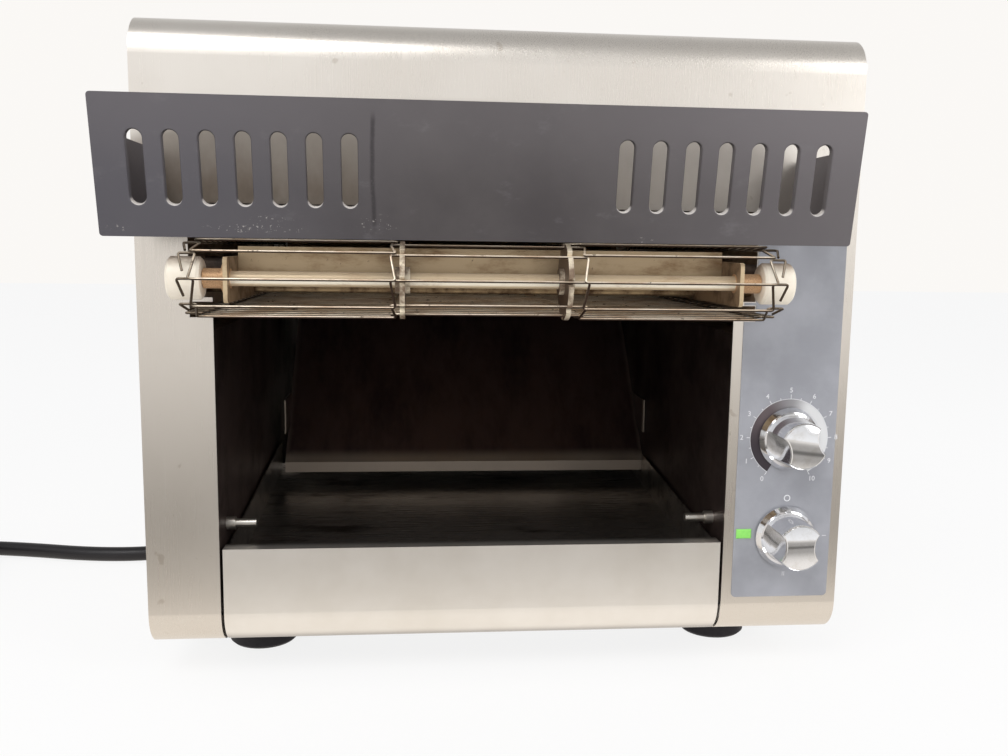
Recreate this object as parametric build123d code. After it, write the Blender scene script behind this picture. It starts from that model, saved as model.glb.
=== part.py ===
"""Conveyor toaster: a wire-belt countertop toaster with a return tray.

Millimetres, +Z up, front towards -Y.  Sizes below are given from the middle of the
casing (X), the front face (Y) and the table top (Z); every piece is moved by ORIGIN
when it is written, so that the part stands on the centre of its own footprint.
"""
import os
from math import atan2, cos, degrees, hypot, pi, radians, sin, tan

from build123d import *

# ------------------------------------------------------------------ casing
BODY_W = 470.0        # over the side panels
BODY_D = 451.0        # front face to back panel
BODY_H = 410.0        # without the feet
BEND_R = 25.0         # outer radius of the front bends
SHEET = 1.2           # casing and lining sheet
BOTTOM_LAP = 60.0     # how far the front sheet runs on under the bottom
FOOT_H = 25.0
FOOT_R = 25.0
FOOT_IN = 62.5        # foot centres in from the side panels
FOOT_FRONT = 82.0     # front feet behind the face
FOOT_BACK = 60.0      # rear feet in front of the back panel
VENT_L, VENT_H, VENT_PITCH, VENT_N = 84.0, 5.0, 14.0, 8
VENT_Z = 70.0         # lowest side vent above the bottom
BACK_VENT = (85.0, 15.0)     # ends of the back vents in from the lining walls
TOP_Z = FOOT_H + BODY_H
SIDE_X = BODY_W / 2
FOOT_X = SIDE_X - FOOT_IN

# ------------------------------------------------------------------ openings in the face
BAYS = (47.0, 82.0)   # from the left and the right side panel to the return opening
OPEN_MID = (BAYS[0] - BAYS[1]) / 2
OPEN_W = BODY_W - BAYS[0] - BAYS[1]
WINDOW_STEP = 14.5    # the belt's window is wider than the return opening, each side
WINDOW_W = OPEN_W + 2 * WINDOW_STEP
CHAMBER_STEP = 24.5   # the linings step out from the return opening, each side
CHAMBER_HALF = OPEN_W / 2 + CHAMBER_STEP
WINDOW_BELOW = 13.8   # sides of the window below the shaft line
GATE_GAP = 24.0       # top of the window above the belt's pitch line
NOTCH = 5.0           # notch for the belt's lower run, each way from its pitch line

# ------------------------------------------------------------------ belt
BELT_SHIFT = 2.0      # middle of the belt, to the right of the openings' middle
CONV_X = OPEN_MID + BELT_SHIFT
PITCH = 16.5          # from one strand to the next
TEETH = 8             # belt sprocket teeth
STRAIGHT = 23         # strands on each straight run
WIRE = 1.6
WIRE_GAP = 0.3        # between two strands where they hook together
BELT_CLEAR = 15.7     # ends of the belt's wires inside the linings, but for the shift
BELT_HALF = CHAMBER_HALF - BELT_CLEAR
LINK_IN = 8.2         # outer Z-bends in from the wire's ends
LINK_U = (57.1, BELT_HALF - LINK_IN)     # the Z-bends, from the middle of the belt
LINK_LEAN = 1.5       # half the sideways lean of a Z-bend
HOOK_BACK = 0.34      # how far an end hook stops from the next strand, in pitches
BELT_DROP = 160.7     # belt shafts below the top of the casing
SHAFT_Z = TOP_Z - BELT_DROP
NOSE_Y = -45.0        # front shaft
SHAFT_R = 4.5
FIT = 0.05            # radial running clearance
SPROCKET_U = (-51.6, 47.2)   # belt sprockets from the middle
SPROCKET_T = 3.0
SPROCKET_TIP = 23.3
HUB_R, HUB_T = 8.0, 9.0
RAIL_IN = 26.9        # inner face of a rail in from the wire's ends
RAIL_U, RAIL_T = BELT_HALF - RAIL_IN, 2.5
RAIL_UP, RAIL_DOWN = 12.8, 14.0
RAIL_END, RAIL_ROUND = 12.0, 3.0
BUSH_R, BUSH_FLANGE_R, BUSH_L = 6.0, 8.5, 15.6
ROLLER_R, ROLLER_L, ROLLER_GAP = 12.8, 19.3, 0.6
BAR_R = 4.0           # cross bars that carry the rails
BAR_Y = (40.0, 150.0, 262.0)

# ------------------------------------------------------------------ toasting chamber
ROOF_DROP = 37.0      # underside of the roof sheet below the top of the casing
CHAMBER_TOP = TOP_Z - ROOF_DROP
STEP_DROP = 35.3      # where the linings step in, below the shafts
STEP_Z = SHAFT_Z - STEP_DROP
LOW_REFL_DROP = 4.3   # lower reflector floor below the shafts
LOW_REFL_Z = SHAFT_Z - LOW_REFL_DROP
LOW_REFL_GAP = 2.0    # reflector ends clear of the sprocket tips
LOW_REFL_H = 23.2
HEATER_R = 4.0
LOW_HEATER_UP = 11.0  # lower rods above their reflector
LOW_HEATER_Z = LOW_REFL_Z + LOW_HEATER_UP
LOW_HEATER_Y = (30.0, 100.0, 170.0, 240.0)
UP_HEATER_Y = (40.0, 112.0, 184.0, 256.0, 328.0)
CAP_R, CAP_L = 8.0, 9.0
UP_REFL_DROP = 30.0   # upper reflector below the roof
UP_REFL_Z, UP_REFL_H = CHAMBER_TOP - UP_REFL_DROP, 30.0
UP_HEATER_DROP = 22.0  # upper rods below their reflector
UP_HEATER_Z = UP_REFL_Z - UP_HEATER_DROP
UP_REFL_Y = (12.0, 372.0)

# ------------------------------------------------------------------ return chute and tray
LIP_Y, LIP_Z = 236.0, 99.5
LIP_DROP = 9.0
CHUTE_OVER = 31.7     # top of the slope above the shafts
CHUTE_RISE = SHAFT_Z + CHUTE_OVER - LIP_Z
CHUTE_RUN = 192.6
CHUTE_HEAD = 24.0     # upright sheet above the slope
CHUTE_T = 1.2
CHUTE_GAP = (12.3, 1.0)      # from the left and the right lining
CHEEK_Z = (126.0, 156.0)     # side cheeks of the chute
TRAY_GAP = 2.0        # each side of the tray in the opening
TRAY_TOP = 94.3
TRAY_FLOOR = 63.0     # at the front
TRAY_BACK = 286.0
TRAY_LEAN = 3.9       # degrees, floor and side edges rising to the back
TRAY_SIDE_TOP = 91.5  # side edges behind the hem
TRAY_BACK_H = 5.5
TRAY_CLEAR = 4.0      # right side edge in front of the chute's lip
TRAY_HEM = 12.0
TRAY_UNDER = 40.0     # how far the tray's front runs on under the bottom
RUNNER_W, RUNNER_T, RUNNER_GAP = 14.0, 1.5, 0.2
PIN_Y, PIN_Z, PIN_R, PIN_L = 28.0, 104.5, 3.0, 20.0
SLEEVE_R, SLEEVE_L = 4.5, 6.0

# ------------------------------------------------------------------ heat shield
SHIELD_SHIFT = 0.2    # middle of the shield, to the right of the openings' middle
SHIELD_LAP = 34.4     # the shield runs past the window, each side
SHIELD_X = OPEN_MID + SHIELD_SHIFT
SHIELD_W, SHIELD_H, SHIELD_T = WINDOW_W + 2 * SHIELD_LAP, 78.5, 1.5
SHIELD_CORNER = 2.0
SHIELD_GAP = 62.0     # bottom edge in front of the face
SHIELD_UP = 23.7      # bottom edge above the shafts
SHIELD_Z = SHAFT_Z + SHIELD_UP
SHIELD_LEAN = 10.4    # degrees, top outward
SLOT_W, SLOT_L, SLOT_PITCH, SLOT_N = 9.3, 41.0, 19.55, 7
SLOT_SIDE = 22.85     # outermost slots in from the shield's ends
SLOT_INNER = SHIELD_W - 2 * (SLOT_SIDE + (SLOT_N - 1) * SLOT_PITCH)  # between the innermost
SLOT_UP = 38.6        # middle of the slots above the bottom edge
SLOT_ROUND = 1.0      # rolled mouth of a slot
COLLAR_T, COLLAR_DEEP = 1.2, 5.0     # rim turned back round a slot
BRACKET_T, BRACKET_FLANGE = 1.5, 9.0
BRACKET_UP = (2.0, 56.0)     # flange on the shield, from its bottom edge
BRACKET_RISE = 55.0   # top of the foot on the face above the shield's bottom edge
BRACKET_TOP = SHIELD_Z + BRACKET_RISE
BRACKET_IN = (13.7, 9.6)     # webs in from the shield's ends, the faces towards the middle
BRACKET_X = (SHIELD_X - SHIELD_W / 2 + BRACKET_IN[0], SHIELD_X + SHIELD_W / 2 - BRACKET_IN[1])
BRACKET_FOOT = (11.0, 18.5)  # width of the foot on the face
BRACKET_FOOT_UP = (2.0, 11.5)        # bottom of the foot above the shield's bottom edge
BRACKET_FOOT_Z = tuple(SHIELD_Z + up for up in BRACKET_FOOT_UP)

# ------------------------------------------------------------------ controls
PANEL_T = 0.5
PANEL_IN = (7.0, 6.5)        # overlay's edges from the return opening and the side panel
PANEL_UP, PANEL_CLEAR = 30.0, 0.5    # above the bottom, and below the right bracket's foot
PANEL_X = (SIDE_X - BAYS[1] + PANEL_IN[0], SIDE_X - PANEL_IN[1])
PANEL_Z = (FOOT_H + PANEL_UP, BRACKET_FOOT_Z[1] - PANEL_CLEAR)
DIAL_IN, SELECT_IN = 39.5, 38.5      # knob centres in from the side panel
DIAL_X, DIAL_Z = SIDE_X - DIAL_IN, 167.5
SELECT_X, SELECT_Z = SIDE_X - SELECT_IN, 98.5
KNOB_R, KNOB_H, KNOB_SKIRT = 21.5, 28.0, 5.0
GRIP_R, GRIP_WAIST, GRIP_DRAFT = 15.5, 20.0, 1.12
KNOB_GAP = 0.8
KNOB_WALL = 4.0       # knob face in front of the spindle end
DIAL_TURN = 14.0      # degrees, grip of the speed knob from upright
SPINDLE_R, SPINDLE_IN = 3.0, 18.0
COLLAR_R = 4.75
POT_R, POT_L = 12.0, 11.0
SWITCH_W, SWITCH_L = 34.0, 26.0
LAMP_IN = 6.8         # lamp's middle in from the overlay's left edge
LAMP_X = PANEL_X[0] + LAMP_IN
LAMP_Z, LAMP_W, LAMP_H, LAMP_L = 100.5, 10.6, 6.6, 16.0

# ------------------------------------------------------------------ drive
CHAIN_PITCH, CHAIN_TEETH, CHAIN_STRAIGHT = 12.7, 10, 10
CHAIN_CLEAR = 8.8     # chain plane outside the gearbox
CHAIN_LEAN = 18.0     # degrees, chain run from the vertical
CHAIN_ROLLER_R, CHAIN_IN, CHAIN_PLATE, CHAIN_PLATE_H = 3.9, 6.0, 1.1, 9.0
CHAIN_WHEEL_T, CHAIN_TIP, CHAIN_PLAY = 4.6, 2.2, 0.3
MOTOR_SHAFT_R = 5.0
GEARBOX = (27.0, 62.0, 66.0)
MOTOR_R, MOTOR_L = 23.0, 84.0
PLATE_T = 3.0
BOARD_Y, BOARD_UP = 70.0, 40.0       # behind the face and above the bottom
BOARD_L, BOARD_H, BOARD_T, BOARD_OFF = 80.0, 110.0, 1.6, 8.0
BOARD_EDGE = 6.0      # standoffs in from the board's edges
FAN_IN = 39.0         # fan centre in from the side panel
FAN_W, FAN_D, FAN_X, FAN_Z = 60.0, 25.0, SIDE_X - FAN_IN, 92.0
FAN_R, FAN_HUB_R, FAN_BLADES = 27.0, 11.0, 5

# ------------------------------------------------------------------ supply cord
CORD_R = 6.5
GLAND_IN = 24.0       # cord's exit in from the left side panel
GLAND_X, GLAND_Z, GLAND_R, GLAND_L = GLAND_IN - SIDE_X, 62.0, 12.5, 16.0
GLAND_NECK = 9.5
COIL_X, COIL_Y, COIL_R = -521.0, 229.0, 66.0
COIL_TURNS, COIL_RISE = 2.25, 13.2   # turns wound, and the rise of each
PLUG_L, PLUG_W, PLUG_H = 46.0, 34.0, 26.0
BLADE_L, BLADE_W, BLADE_T = 18.0, 6.5, 1.6
SCREW_AF, SCREW_H = 7.0, 2.0

# ------------------------------------------------------------------ derived
BELT_R = PITCH / (2 * sin(pi / TEETH))
BELT_Z = SHAFT_Z + BELT_R
DRIVE_Y = NOSE_Y + STRAIGHT * PITCH
LOW_REFL_Y = (NOSE_Y + SPROCKET_TIP + LOW_REFL_GAP, DRIVE_Y - SPROCKET_TIP - LOW_REFL_GAP)
WIRE_LIFT = (WIRE + WIRE_GAP) / 2 / cos(pi / TEETH)
OPEN_X = (OPEN_MID - OPEN_W / 2, OPEN_MID + OPEN_W / 2)
WINDOW_X = (OPEN_MID - WINDOW_W / 2, OPEN_MID + WINDOW_W / 2)
WINDOW_Z = (SHAFT_Z - WINDOW_BELOW, BELT_Z + GATE_GAP)
NOTCH_Z = (SHAFT_Z - BELT_R - NOTCH, SHAFT_Z - BELT_R + NOTCH)
CHAMBER_X = (OPEN_MID - CHAMBER_HALF, OPEN_MID + CHAMBER_HALF)
CHUTE_X = (OPEN_X[0] + CHUTE_GAP[0], OPEN_X[1] - CHUTE_GAP[1])
INNER_Y = (SHEET, BODY_D - SHEET)
SHIELD_TIP = SHIELD_GAP + SHIELD_H * sin(radians(SHIELD_LEAN))
ORIGIN = (0.0, (SHIELD_TIP - BODY_D - SCREW_H) / 2, 0.0)
SHIELD_PLANE = Plane(
    origin=(SHIELD_X, -SHIELD_GAP, SHIELD_Z),
    x_dir=(1, 0, 0),
    z_dir=(0, -cos(radians(SHIELD_LEAN)), -sin(radians(SHIELD_LEAN))),
)
COIL_TOP = 2 * CORD_R + COIL_TURNS * COIL_RISE
CHAIN_R = CHAIN_PITCH / (2 * sin(pi / CHAIN_TEETH))
CHAIN_RUN = CHAIN_PITCH * CHAIN_STRAIGHT
CHAIN_U = OPEN_X[1] + SHEET + PLATE_T + GEARBOX[0] + CHAIN_CLEAR
MOTOR_Y = DRIVE_Y - CHAIN_RUN * sin(radians(CHAIN_LEAN))
MOTOR_Z = SHAFT_Z - CHAIN_RUN * cos(radians(CHAIN_LEAN))


# ------------------------------------------------------------------ helpers
def block(x, y, z):
    """A box from its three (low, high) pairs."""
    size = [b - a for a, b in (x, y, z)]
    return Pos(*[(a + b) / 2 for a, b in (x, y, z)]) * Box(*size)


def rod_x(r, x0, x1, y, z):
    return Pos((x0 + x1) / 2, y, z) * Rot(0, 90, 0) * Cylinder(r, x1 - x0)


def rod_y(r, y0, y1, x, z):
    return Pos(x, (y0 + y1) / 2, z) * Rot(90, 0, 0) * Cylinder(r, y1 - y0)


def rod_z(r, z0, z1, x, y):
    return Pos(x, y, (z0 + z1) / 2) * Cylinder(r, z1 - z0)


def along_x(sketch, x0, x1):
    """Extrude a sketch drawn in (y, z) from x0 to x1."""
    return Pos(x0, 0, 0) * extrude(Plane.YZ * sketch, x1 - x0)


def along_y(sketch, y0, y1):
    """Extrude a sketch drawn in (x, z) from y0 to y1."""
    return Pos(0, y1, 0) * extrude(Plane.XZ * sketch, y1 - y0)


def polygon(*points):
    return make_face(Polyline(*points, close=True))


def strip(points, t):
    """A bent strip of sheet: the open polyline, thickened by t to its left."""
    left = []
    n = len(points)
    dirs = []
    for a, b in zip(points, points[1:]):
        length = hypot(b[0] - a[0], b[1] - a[1])
        dirs.append(((b[0] - a[0]) / length, (b[1] - a[1]) / length))
    for i, p in enumerate(points):
        d0 = dirs[max(i - 1, 0)]
        d1 = dirs[min(i, n - 2)]
        nx, ny = -(d0[1] + d1[1]), d0[0] + d1[0]
        k = t / (1 + d0[0] * d1[0] + d0[1] * d1[1])
        left.append((p[0] + nx * k, p[1] + ny * k))
    return polygon(*points, *reversed(left))


def hex_screw(axis, at):
    """A hexagon-headed sheet screw: the head outside, a short shank inside."""
    head = extrude(RegularPolygon(SCREW_AF / 2, 6, major_radius=False), SCREW_H)
    turn = {"-y": Rot(90, 0, 0), "+y": Rot(-90, 0, 0), "-x": Rot(0, -90, 0), "+x": Rot(0, 90, 0)}
    return Pos(*at) * turn[axis] * head


def loop_sides(pitch, teeth, straight):
    """The sides of the closed pitch polygon: start point and direction in degrees.

    The first wheel's centre is (0, 0) and the second's is (straight * pitch, 0).
    """
    r = pitch / (2 * sin(pi / teeth))
    turn = 360.0 / teeth
    sides = []
    x, y, heading = 0.0, r, 0.0
    for run in range(2):
        for _ in range(straight):
            sides.append((x, y, heading))
            x, y = x + pitch * cos(radians(heading)), y + pitch * sin(radians(heading))
        for i in range(teeth // 2):
            step = heading - turn / 2 - turn * i
            sides.append((x, y, step))
            x, y = x + pitch * cos(radians(step)), y + pitch * sin(radians(step))
        heading -= 180.0
    return sides


def casing_outline(inset=0.0):
    """The side view of the casing in (y, z), rounded at the two front bends."""
    rect = Pos((BODY_D + inset) / 2, FOOT_H + BODY_H / 2) * Rectangle(BODY_D - inset, BODY_H - 2 * inset)
    corners = rect.vertices().sort_by(Axis.X)[:2]
    return fillet(corners, max(BEND_R - inset, 0.5))


def front_openings(margin=0.0):
    """The return opening and the belt window as one cutting solid."""
    deep = (-5.0, BOTTOM_LAP + 5.0)
    low = block((OPEN_X[0] - margin, OPEN_X[1] + margin), deep, (FOOT_H - 5.0, SHAFT_Z))
    wide = (WINDOW_X[0] - margin, WINDOW_X[1] + margin)
    win = block(wide, (-5.0, 2 * SHEET), (WINDOW_Z[0] - margin, WINDOW_Z[1] + margin))
    notch = block(wide, (-5.0, 2 * SHEET), (NOTCH_Z[0] - margin, NOTCH_Z[1] + margin))
    return low + win + notch


# ------------------------------------------------------------------ casing
def make_outer_wrap():
    ring = casing_outline() - casing_outline(SHEET)
    wrap = along_x(ring, -SIDE_X, SIDE_X)
    wrap -= block((-SIDE_X - 1, SIDE_X + 1), (BOTTOM_LAP, BODY_D + 1), (FOOT_H - 1, FOOT_H + SHEET))
    wrap -= front_openings()
    for x, z, r in ((DIAL_X, DIAL_Z, COLLAR_R), (SELECT_X, SELECT_Z, COLLAR_R)):
        wrap -= rod_y(r, -1, SHEET + 1, x, z)
    wrap -= block((LAMP_X - LAMP_W / 2, LAMP_X + LAMP_W / 2), (-1, SHEET + 1),
                  (LAMP_Z - LAMP_H / 2, LAMP_Z + LAMP_H / 2))
    return wrap


def make_side_panel(side):
    x = sorted((side * SIDE_X, side * (SIDE_X - SHEET)))
    panel = along_x(casing_outline(SHEET), *x)
    y_mid = BODY_D * 0.62
    for i in range(VENT_N):
        z = FOOT_H + VENT_Z + i * VENT_PITCH
        panel -= block((x[0] - 1, x[1] + 1), (y_mid - VENT_L / 2, y_mid + VENT_L / 2),
                       (z, z + VENT_H))
    return panel


def make_base_pan():
    return block((-SIDE_X + SHEET, SIDE_X - SHEET), (BOTTOM_LAP, BODY_D), (FOOT_H, FOOT_H + SHEET))


def fan_slots():
    """Slots of the fan grille, each as long as the round opening leaves."""
    cut = []
    for i in range(-3, 4):
        half = (FAN_R**2 - (i * 7.4) ** 2) ** 0.5 - 1.5
        cut.append(block((FAN_X - half, FAN_X + half), (BODY_D - SHEET - 1, BODY_D + 1),
                         (FAN_Z + i * 7.4 - 2, FAN_Z + i * 7.4 + 2)))
    return cut


def make_back_panel():
    panel = block((-SIDE_X + SHEET, SIDE_X - SHEET), (BODY_D - SHEET, BODY_D),
                  (FOOT_H + SHEET, TOP_Z - SHEET))
    for slot in fan_slots():
        panel -= slot
    panel -= rod_y(GLAND_NECK, BODY_D - SHEET - 1, BODY_D + 1, GLAND_X, GLAND_Z)
    near, far = [CHAMBER_HALF - gap for gap in BACK_VENT]
    for i in range(6):
        z = STEP_Z + 30 + i * 12
        panel -= block((OPEN_MID + near, OPEN_MID + far), (BODY_D - SHEET - 1, BODY_D + 1), (z, z + 4))
        panel -= block((OPEN_MID - far, OPEN_MID - near), (BODY_D - SHEET - 1, BODY_D + 1), (z, z + 4))
    return panel


def foot_places():
    return [(sx * FOOT_X, y) for sx in (-1, 1) for y in (FOOT_FRONT, BODY_D - FOOT_BACK)]


def make_feet():
    profile = polygon((FOOT_R * 0.35, 4.0), (FOOT_R * 0.35, 0), (FOOT_R - 2.0, 0), (FOOT_R, 2.0),
                      (FOOT_R - 3.0, FOOT_H), (0, FOOT_H), (0, 4.0))
    foot = revolve(Plane.XZ * profile, Axis.Z)
    return [Pos(x, y, 0) * foot for x, y in foot_places()]


def make_casing_screws():
    out = []
    for z in (FOOT_H + 14, FOOT_H + BODY_H / 2, TOP_Z - 14):
        for x in (-SIDE_X + 14, SIDE_X - 14):
            out.append(hex_screw("+y", (x, BODY_D, z)))
    for x in (-70.0, 70.0):
        out.append(hex_screw("+y", (x, BODY_D, TOP_Z - 14)))
        out.append(hex_screw("+y", (x, BODY_D, FOOT_H + 14)))
    for y in (BEND_R + 14, BODY_D / 2, BODY_D - 24):
        out.append(hex_screw("-x", (-SIDE_X, y, FOOT_H + 16)))
        out.append(hex_screw("+x", (SIDE_X, y, FOOT_H + 16)))
    for side, x, foot, low in brackets():
        for z in (low + 9, BRACKET_TOP - 9):
            out.append(hex_screw("-y", (x + side * (foot + BRACKET_T) / 2, -BRACKET_T, z)))
    return out


# ------------------------------------------------------------------ linings
def make_cavity_wall(side):
    """One lining sheet: up from the base, out over the step, up to the roof."""
    x_low = OPEN_X[0] if side < 0 else OPEN_X[1]
    x_high = CHAMBER_X[0] if side < 0 else CHAMBER_X[1]
    pts = [(x_low, FOOT_H + SHEET), (x_low, STEP_Z), (x_high, STEP_Z), (x_high, CHAMBER_TOP)]
    wall = along_y(strip(pts, -side * SHEET), BOTTOM_LAP, INNER_Y[1])
    front = along_y(strip(pts[1:], -side * SHEET), INNER_Y[0], BOTTOM_LAP)
    low = along_y(strip([(x_low, FOOT_H + BEND_R), (x_low, STEP_Z)], -side * SHEET),
                  INNER_Y[0], BOTTOM_LAP)
    wall = wall + front + low
    for y, z, r in shaft_holes(side):
        wall -= rod_x(r, x_high - 3, x_high + 3, y, z)
    return wall


def shaft_holes(side):
    """Holes in the upper lining: heater ends, cross bars and, on the right, the drive shaft."""
    holes = [(y, LOW_HEATER_Z, HEATER_R) for y in LOW_HEATER_Y]
    holes += [(y, UP_HEATER_Z, HEATER_R) for y in UP_HEATER_Y]
    if side > 0:
        holes.append((DRIVE_Y, SHAFT_Z, BUSH_R))
    return holes


def make_chamber_roof():
    return block((CHAMBER_X[0] - SHEET, CHAMBER_X[1] + SHEET), INNER_Y,
                 (CHAMBER_TOP, CHAMBER_TOP + SHEET))


def make_insulation():
    return block((CHAMBER_X[0] + 4, CHAMBER_X[1] - 4), (BEND_R + 2, BODY_D - 8),
                 (CHAMBER_TOP + SHEET, TOP_Z - SHEET))


def make_return_chute():
    """Steep slide behind the belt, hung from the back panel, with a turned-down lip."""
    back, top = LIP_Y + CHUTE_RUN, LIP_Z + CHUTE_RISE
    pts = [(LIP_Y, LIP_Z - LIP_DROP), (LIP_Y, LIP_Z), (back, top), (back, top + CHUTE_HEAD),
           (INNER_Y[1], top + CHUTE_HEAD)]
    chute = along_x(strip(pts, -CHUTE_T), *CHUTE_X)
    low, high = [LIP_Y + (z - LIP_Z) * CHUTE_RUN / CHUTE_RISE for z in CHEEK_Z]
    cheek = polygon((LIP_Y, CHEEK_Z[0]), (low, CHEEK_Z[0]), (high, CHEEK_Z[1]), (LIP_Y, CHEEK_Z[1]))
    for x in (CHUTE_X[0], CHUTE_X[1] - CHUTE_T):
        chute += along_x(cheek, x, x + CHUTE_T)
    return chute


def make_tray_runners():
    out = []
    for x, side in ((OPEN_X[0], 1), (OPEN_X[1], -1)):
        top = TRAY_FLOOR - SHEET - RUNNER_GAP
        pts = [(x, top - 12.0), (x, top), (x + side * RUNNER_W, top)]
        out.append(along_y(strip(pts, -side * RUNNER_T), BOTTOM_LAP, TRAY_BACK))
    return out


def make_tray_pins():
    out = []
    for x, side in ((OPEN_X[0], 1), (OPEN_X[1], -1)):
        a, b = sorted((x, x + side * PIN_L)), sorted((x, x + side * SLEEVE_L))
        out.append(rod_x(PIN_R, *a, PIN_Y, PIN_Z) + rod_x(SLEEVE_R, *b, PIN_Y, PIN_Z))
    return out


# ------------------------------------------------------------------ tray
def make_product_tray():
    x = (OPEN_X[0] + TRAY_GAP, OPEN_X[1] - TRAY_GAP)
    ring = casing_outline() - casing_outline(SHEET)
    skin = along_x(ring, *x)
    keep = block(x, (-1, TRAY_UNDER), (FOOT_H - 1, TRAY_TOP))
    skin = skin & keep
    rise = tan(radians(TRAY_LEAN))
    low = TRAY_FLOOR - SHEET
    rear = TRAY_FLOOR + (TRAY_BACK - SHEET) * rise
    floor = polygon((SHEET, low), (TRAY_BACK, rear - SHEET), (TRAY_BACK, rear), (SHEET, TRAY_FLOOR))
    hem = along_x(strip([(0, TRAY_TOP), (TRAY_HEM, TRAY_TOP), (TRAY_HEM, TRAY_TOP - 7)], -SHEET), *x)
    back = block(x, (TRAY_BACK - SHEET, TRAY_BACK), (rear - SHEET, rear + TRAY_BACK_H))
    tray = skin + along_x(floor, *x) + hem + back
    for at, end in ((x[0], TRAY_BACK), (x[1] - SHEET, LIP_Y - TRAY_CLEAR)):
        start = TRAY_HEM + 8
        side = polygon((0, TRAY_TOP), (0, low), (TRAY_BACK, low), (TRAY_BACK, rear + TRAY_BACK_H),
                       (end - 0.1, rear + TRAY_BACK_H), (end - 0.1, TRAY_SIDE_TOP + (end - start) * rise),
                       (start, TRAY_SIDE_TOP), (TRAY_HEM, TRAY_TOP))
        tray += along_x(side, at, at + SHEET)
    return tray


# ------------------------------------------------------------------ conveyor
def rail_bush(side, y):
    """Flanged bronze bush pressed into a rail from outside."""
    u0 = RAIL_U
    u1 = RAIL_U + RAIL_T
    xs = sorted((CONV_X + side * u0, CONV_X + side * (u0 + BUSH_L)))
    fl = sorted((CONV_X + side * u1, CONV_X + side * (u1 + 2.0)))
    bush = rod_x(BUSH_R, *xs, y, SHAFT_Z) + rod_x(BUSH_FLANGE_R, *fl, y, SHAFT_Z)
    return bush - rod_x(SHAFT_R + FIT, xs[0] - 1, xs[1] + 1, y, SHAFT_Z)


def make_rail(side):
    xs = sorted((CONV_X + side * RAIL_U, CONV_X + side * (RAIL_U + RAIL_T)))
    outline = Pos((NOSE_Y + DRIVE_Y) / 2, SHAFT_Z + (RAIL_UP - RAIL_DOWN) / 2) * RectangleRounded(
        DRIVE_Y - NOSE_Y + 2 * RAIL_END, RAIL_UP + RAIL_DOWN, RAIL_ROUND)
    rail = along_x(outline, *xs)
    for y in (NOSE_Y, DRIVE_Y):
        rail -= rod_x(BUSH_R, xs[0] - 1, xs[1] + 1, y, SHAFT_Z)
    for y in BAR_Y:
        rail -= rod_x(BAR_R, xs[0] - 1, xs[1] + 1, y, bar_z())
    for y in LOW_HEATER_Y:
        rail -= rod_x(HEATER_R, xs[0] - 1, xs[1] + 1, y, LOW_HEATER_Z)
    return rail


def bar_z():
    return LOW_REFL_Z - BAR_R


def make_cross_bars():
    return [rod_x(BAR_R, CHAMBER_X[0], CHAMBER_X[1], y, bar_z()) for y in BAR_Y]


def wire_in_sprocket():
    """Radius and lead angle of the middle wire of a strand, as it lies on a sprocket."""
    flat = BELT_R * cos(pi / TEETH) - WIRE_LIFT
    return hypot(flat, PITCH / 2), degrees(atan2(PITCH / 2, flat)) - 180.0 / TEETH


def make_sprocket(lead):
    """A thin toothed wheel in the (y, z) plane about the origin.

    A wire lies at the lead angle behind a corner on the wheel and at the corner where
    it comes off a straight run, so each notch is centred between the two and takes both.
    """
    r_wire, _ = wire_in_sprocket()
    notch = WIRE / 2 + WIRE_GAP + r_wire * radians(lead) / 2
    wheel = Circle(SPROCKET_TIP)
    for i in range(TEETH):
        a = 90.0 - lead / 2 + i * 360.0 / TEETH
        cut = polygon((r_wire, -notch), (SPROCKET_TIP + 2, -2.6 * notch),
                      (SPROCKET_TIP + 2, 2.6 * notch), (r_wire, notch))
        wheel -= Rot(0, 0, a) * (Pos(r_wire, 0) * Circle(notch) + cut)
    disc = Pos(-SPROCKET_T / 2, 0, 0) * extrude(Plane.YZ * wheel, SPROCKET_T)
    return disc + rod_x(HUB_R, -HUB_T / 2, HUB_T / 2, 0, 0)


def belt_sprockets(y, lead):
    wheel = make_sprocket(lead) - rod_x(SHAFT_R, -HUB_T, HUB_T, 0, 0)
    return [Pos(CONV_X + u, y, SHAFT_Z) * wheel for u in SPROCKET_U]


def make_idler_rollers():
    u0 = RAIL_U + BUSH_L + ROLLER_GAP
    out = []
    for s in (-1, 1):
        a = CONV_X + s * u0
        b = CONV_X + s * (u0 + ROLLER_L)
        profile = polygon((SHAFT_R, 0), (ROLLER_R - 1.5, 0), (ROLLER_R, 1.5),
                          (ROLLER_R, ROLLER_L - 1.5), (ROLLER_R - 1.5, ROLLER_L), (SHAFT_R, ROLLER_L))
        roller = revolve(Plane.XZ * profile, Axis.Z)
        out.append(Pos(a, NOSE_Y, SHAFT_Z) * Rot(0, 90 * s, 0) * roller)
    return out


def idler_half():
    return RAIL_U + BUSH_L + ROLLER_GAP + ROLLER_L


def make_idler_shaft():
    return rod_x(SHAFT_R, CONV_X - idler_half(), CONV_X + idler_half(), NOSE_Y, SHAFT_Z)


def drive_collar(side, y):
    """Set collar beside a rail bush."""
    u0 = RAIL_U + BUSH_L + ROLLER_GAP
    xs = sorted((CONV_X + side * u0, CONV_X + side * (u0 + 6.0)))
    return rod_x(8.0, *xs, y, SHAFT_Z) - rod_x(SHAFT_R, xs[0] - 1, xs[1] + 1, y, SHAFT_Z)


def make_drive_shaft():
    return rod_x(SHAFT_R, CONV_X - RAIL_U - BUSH_L - ROLLER_GAP - 6.0,
                 CHAIN_U + CHAIN_WHEEL_T + 6.0, DRIVE_Y, SHAFT_Z)


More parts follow.
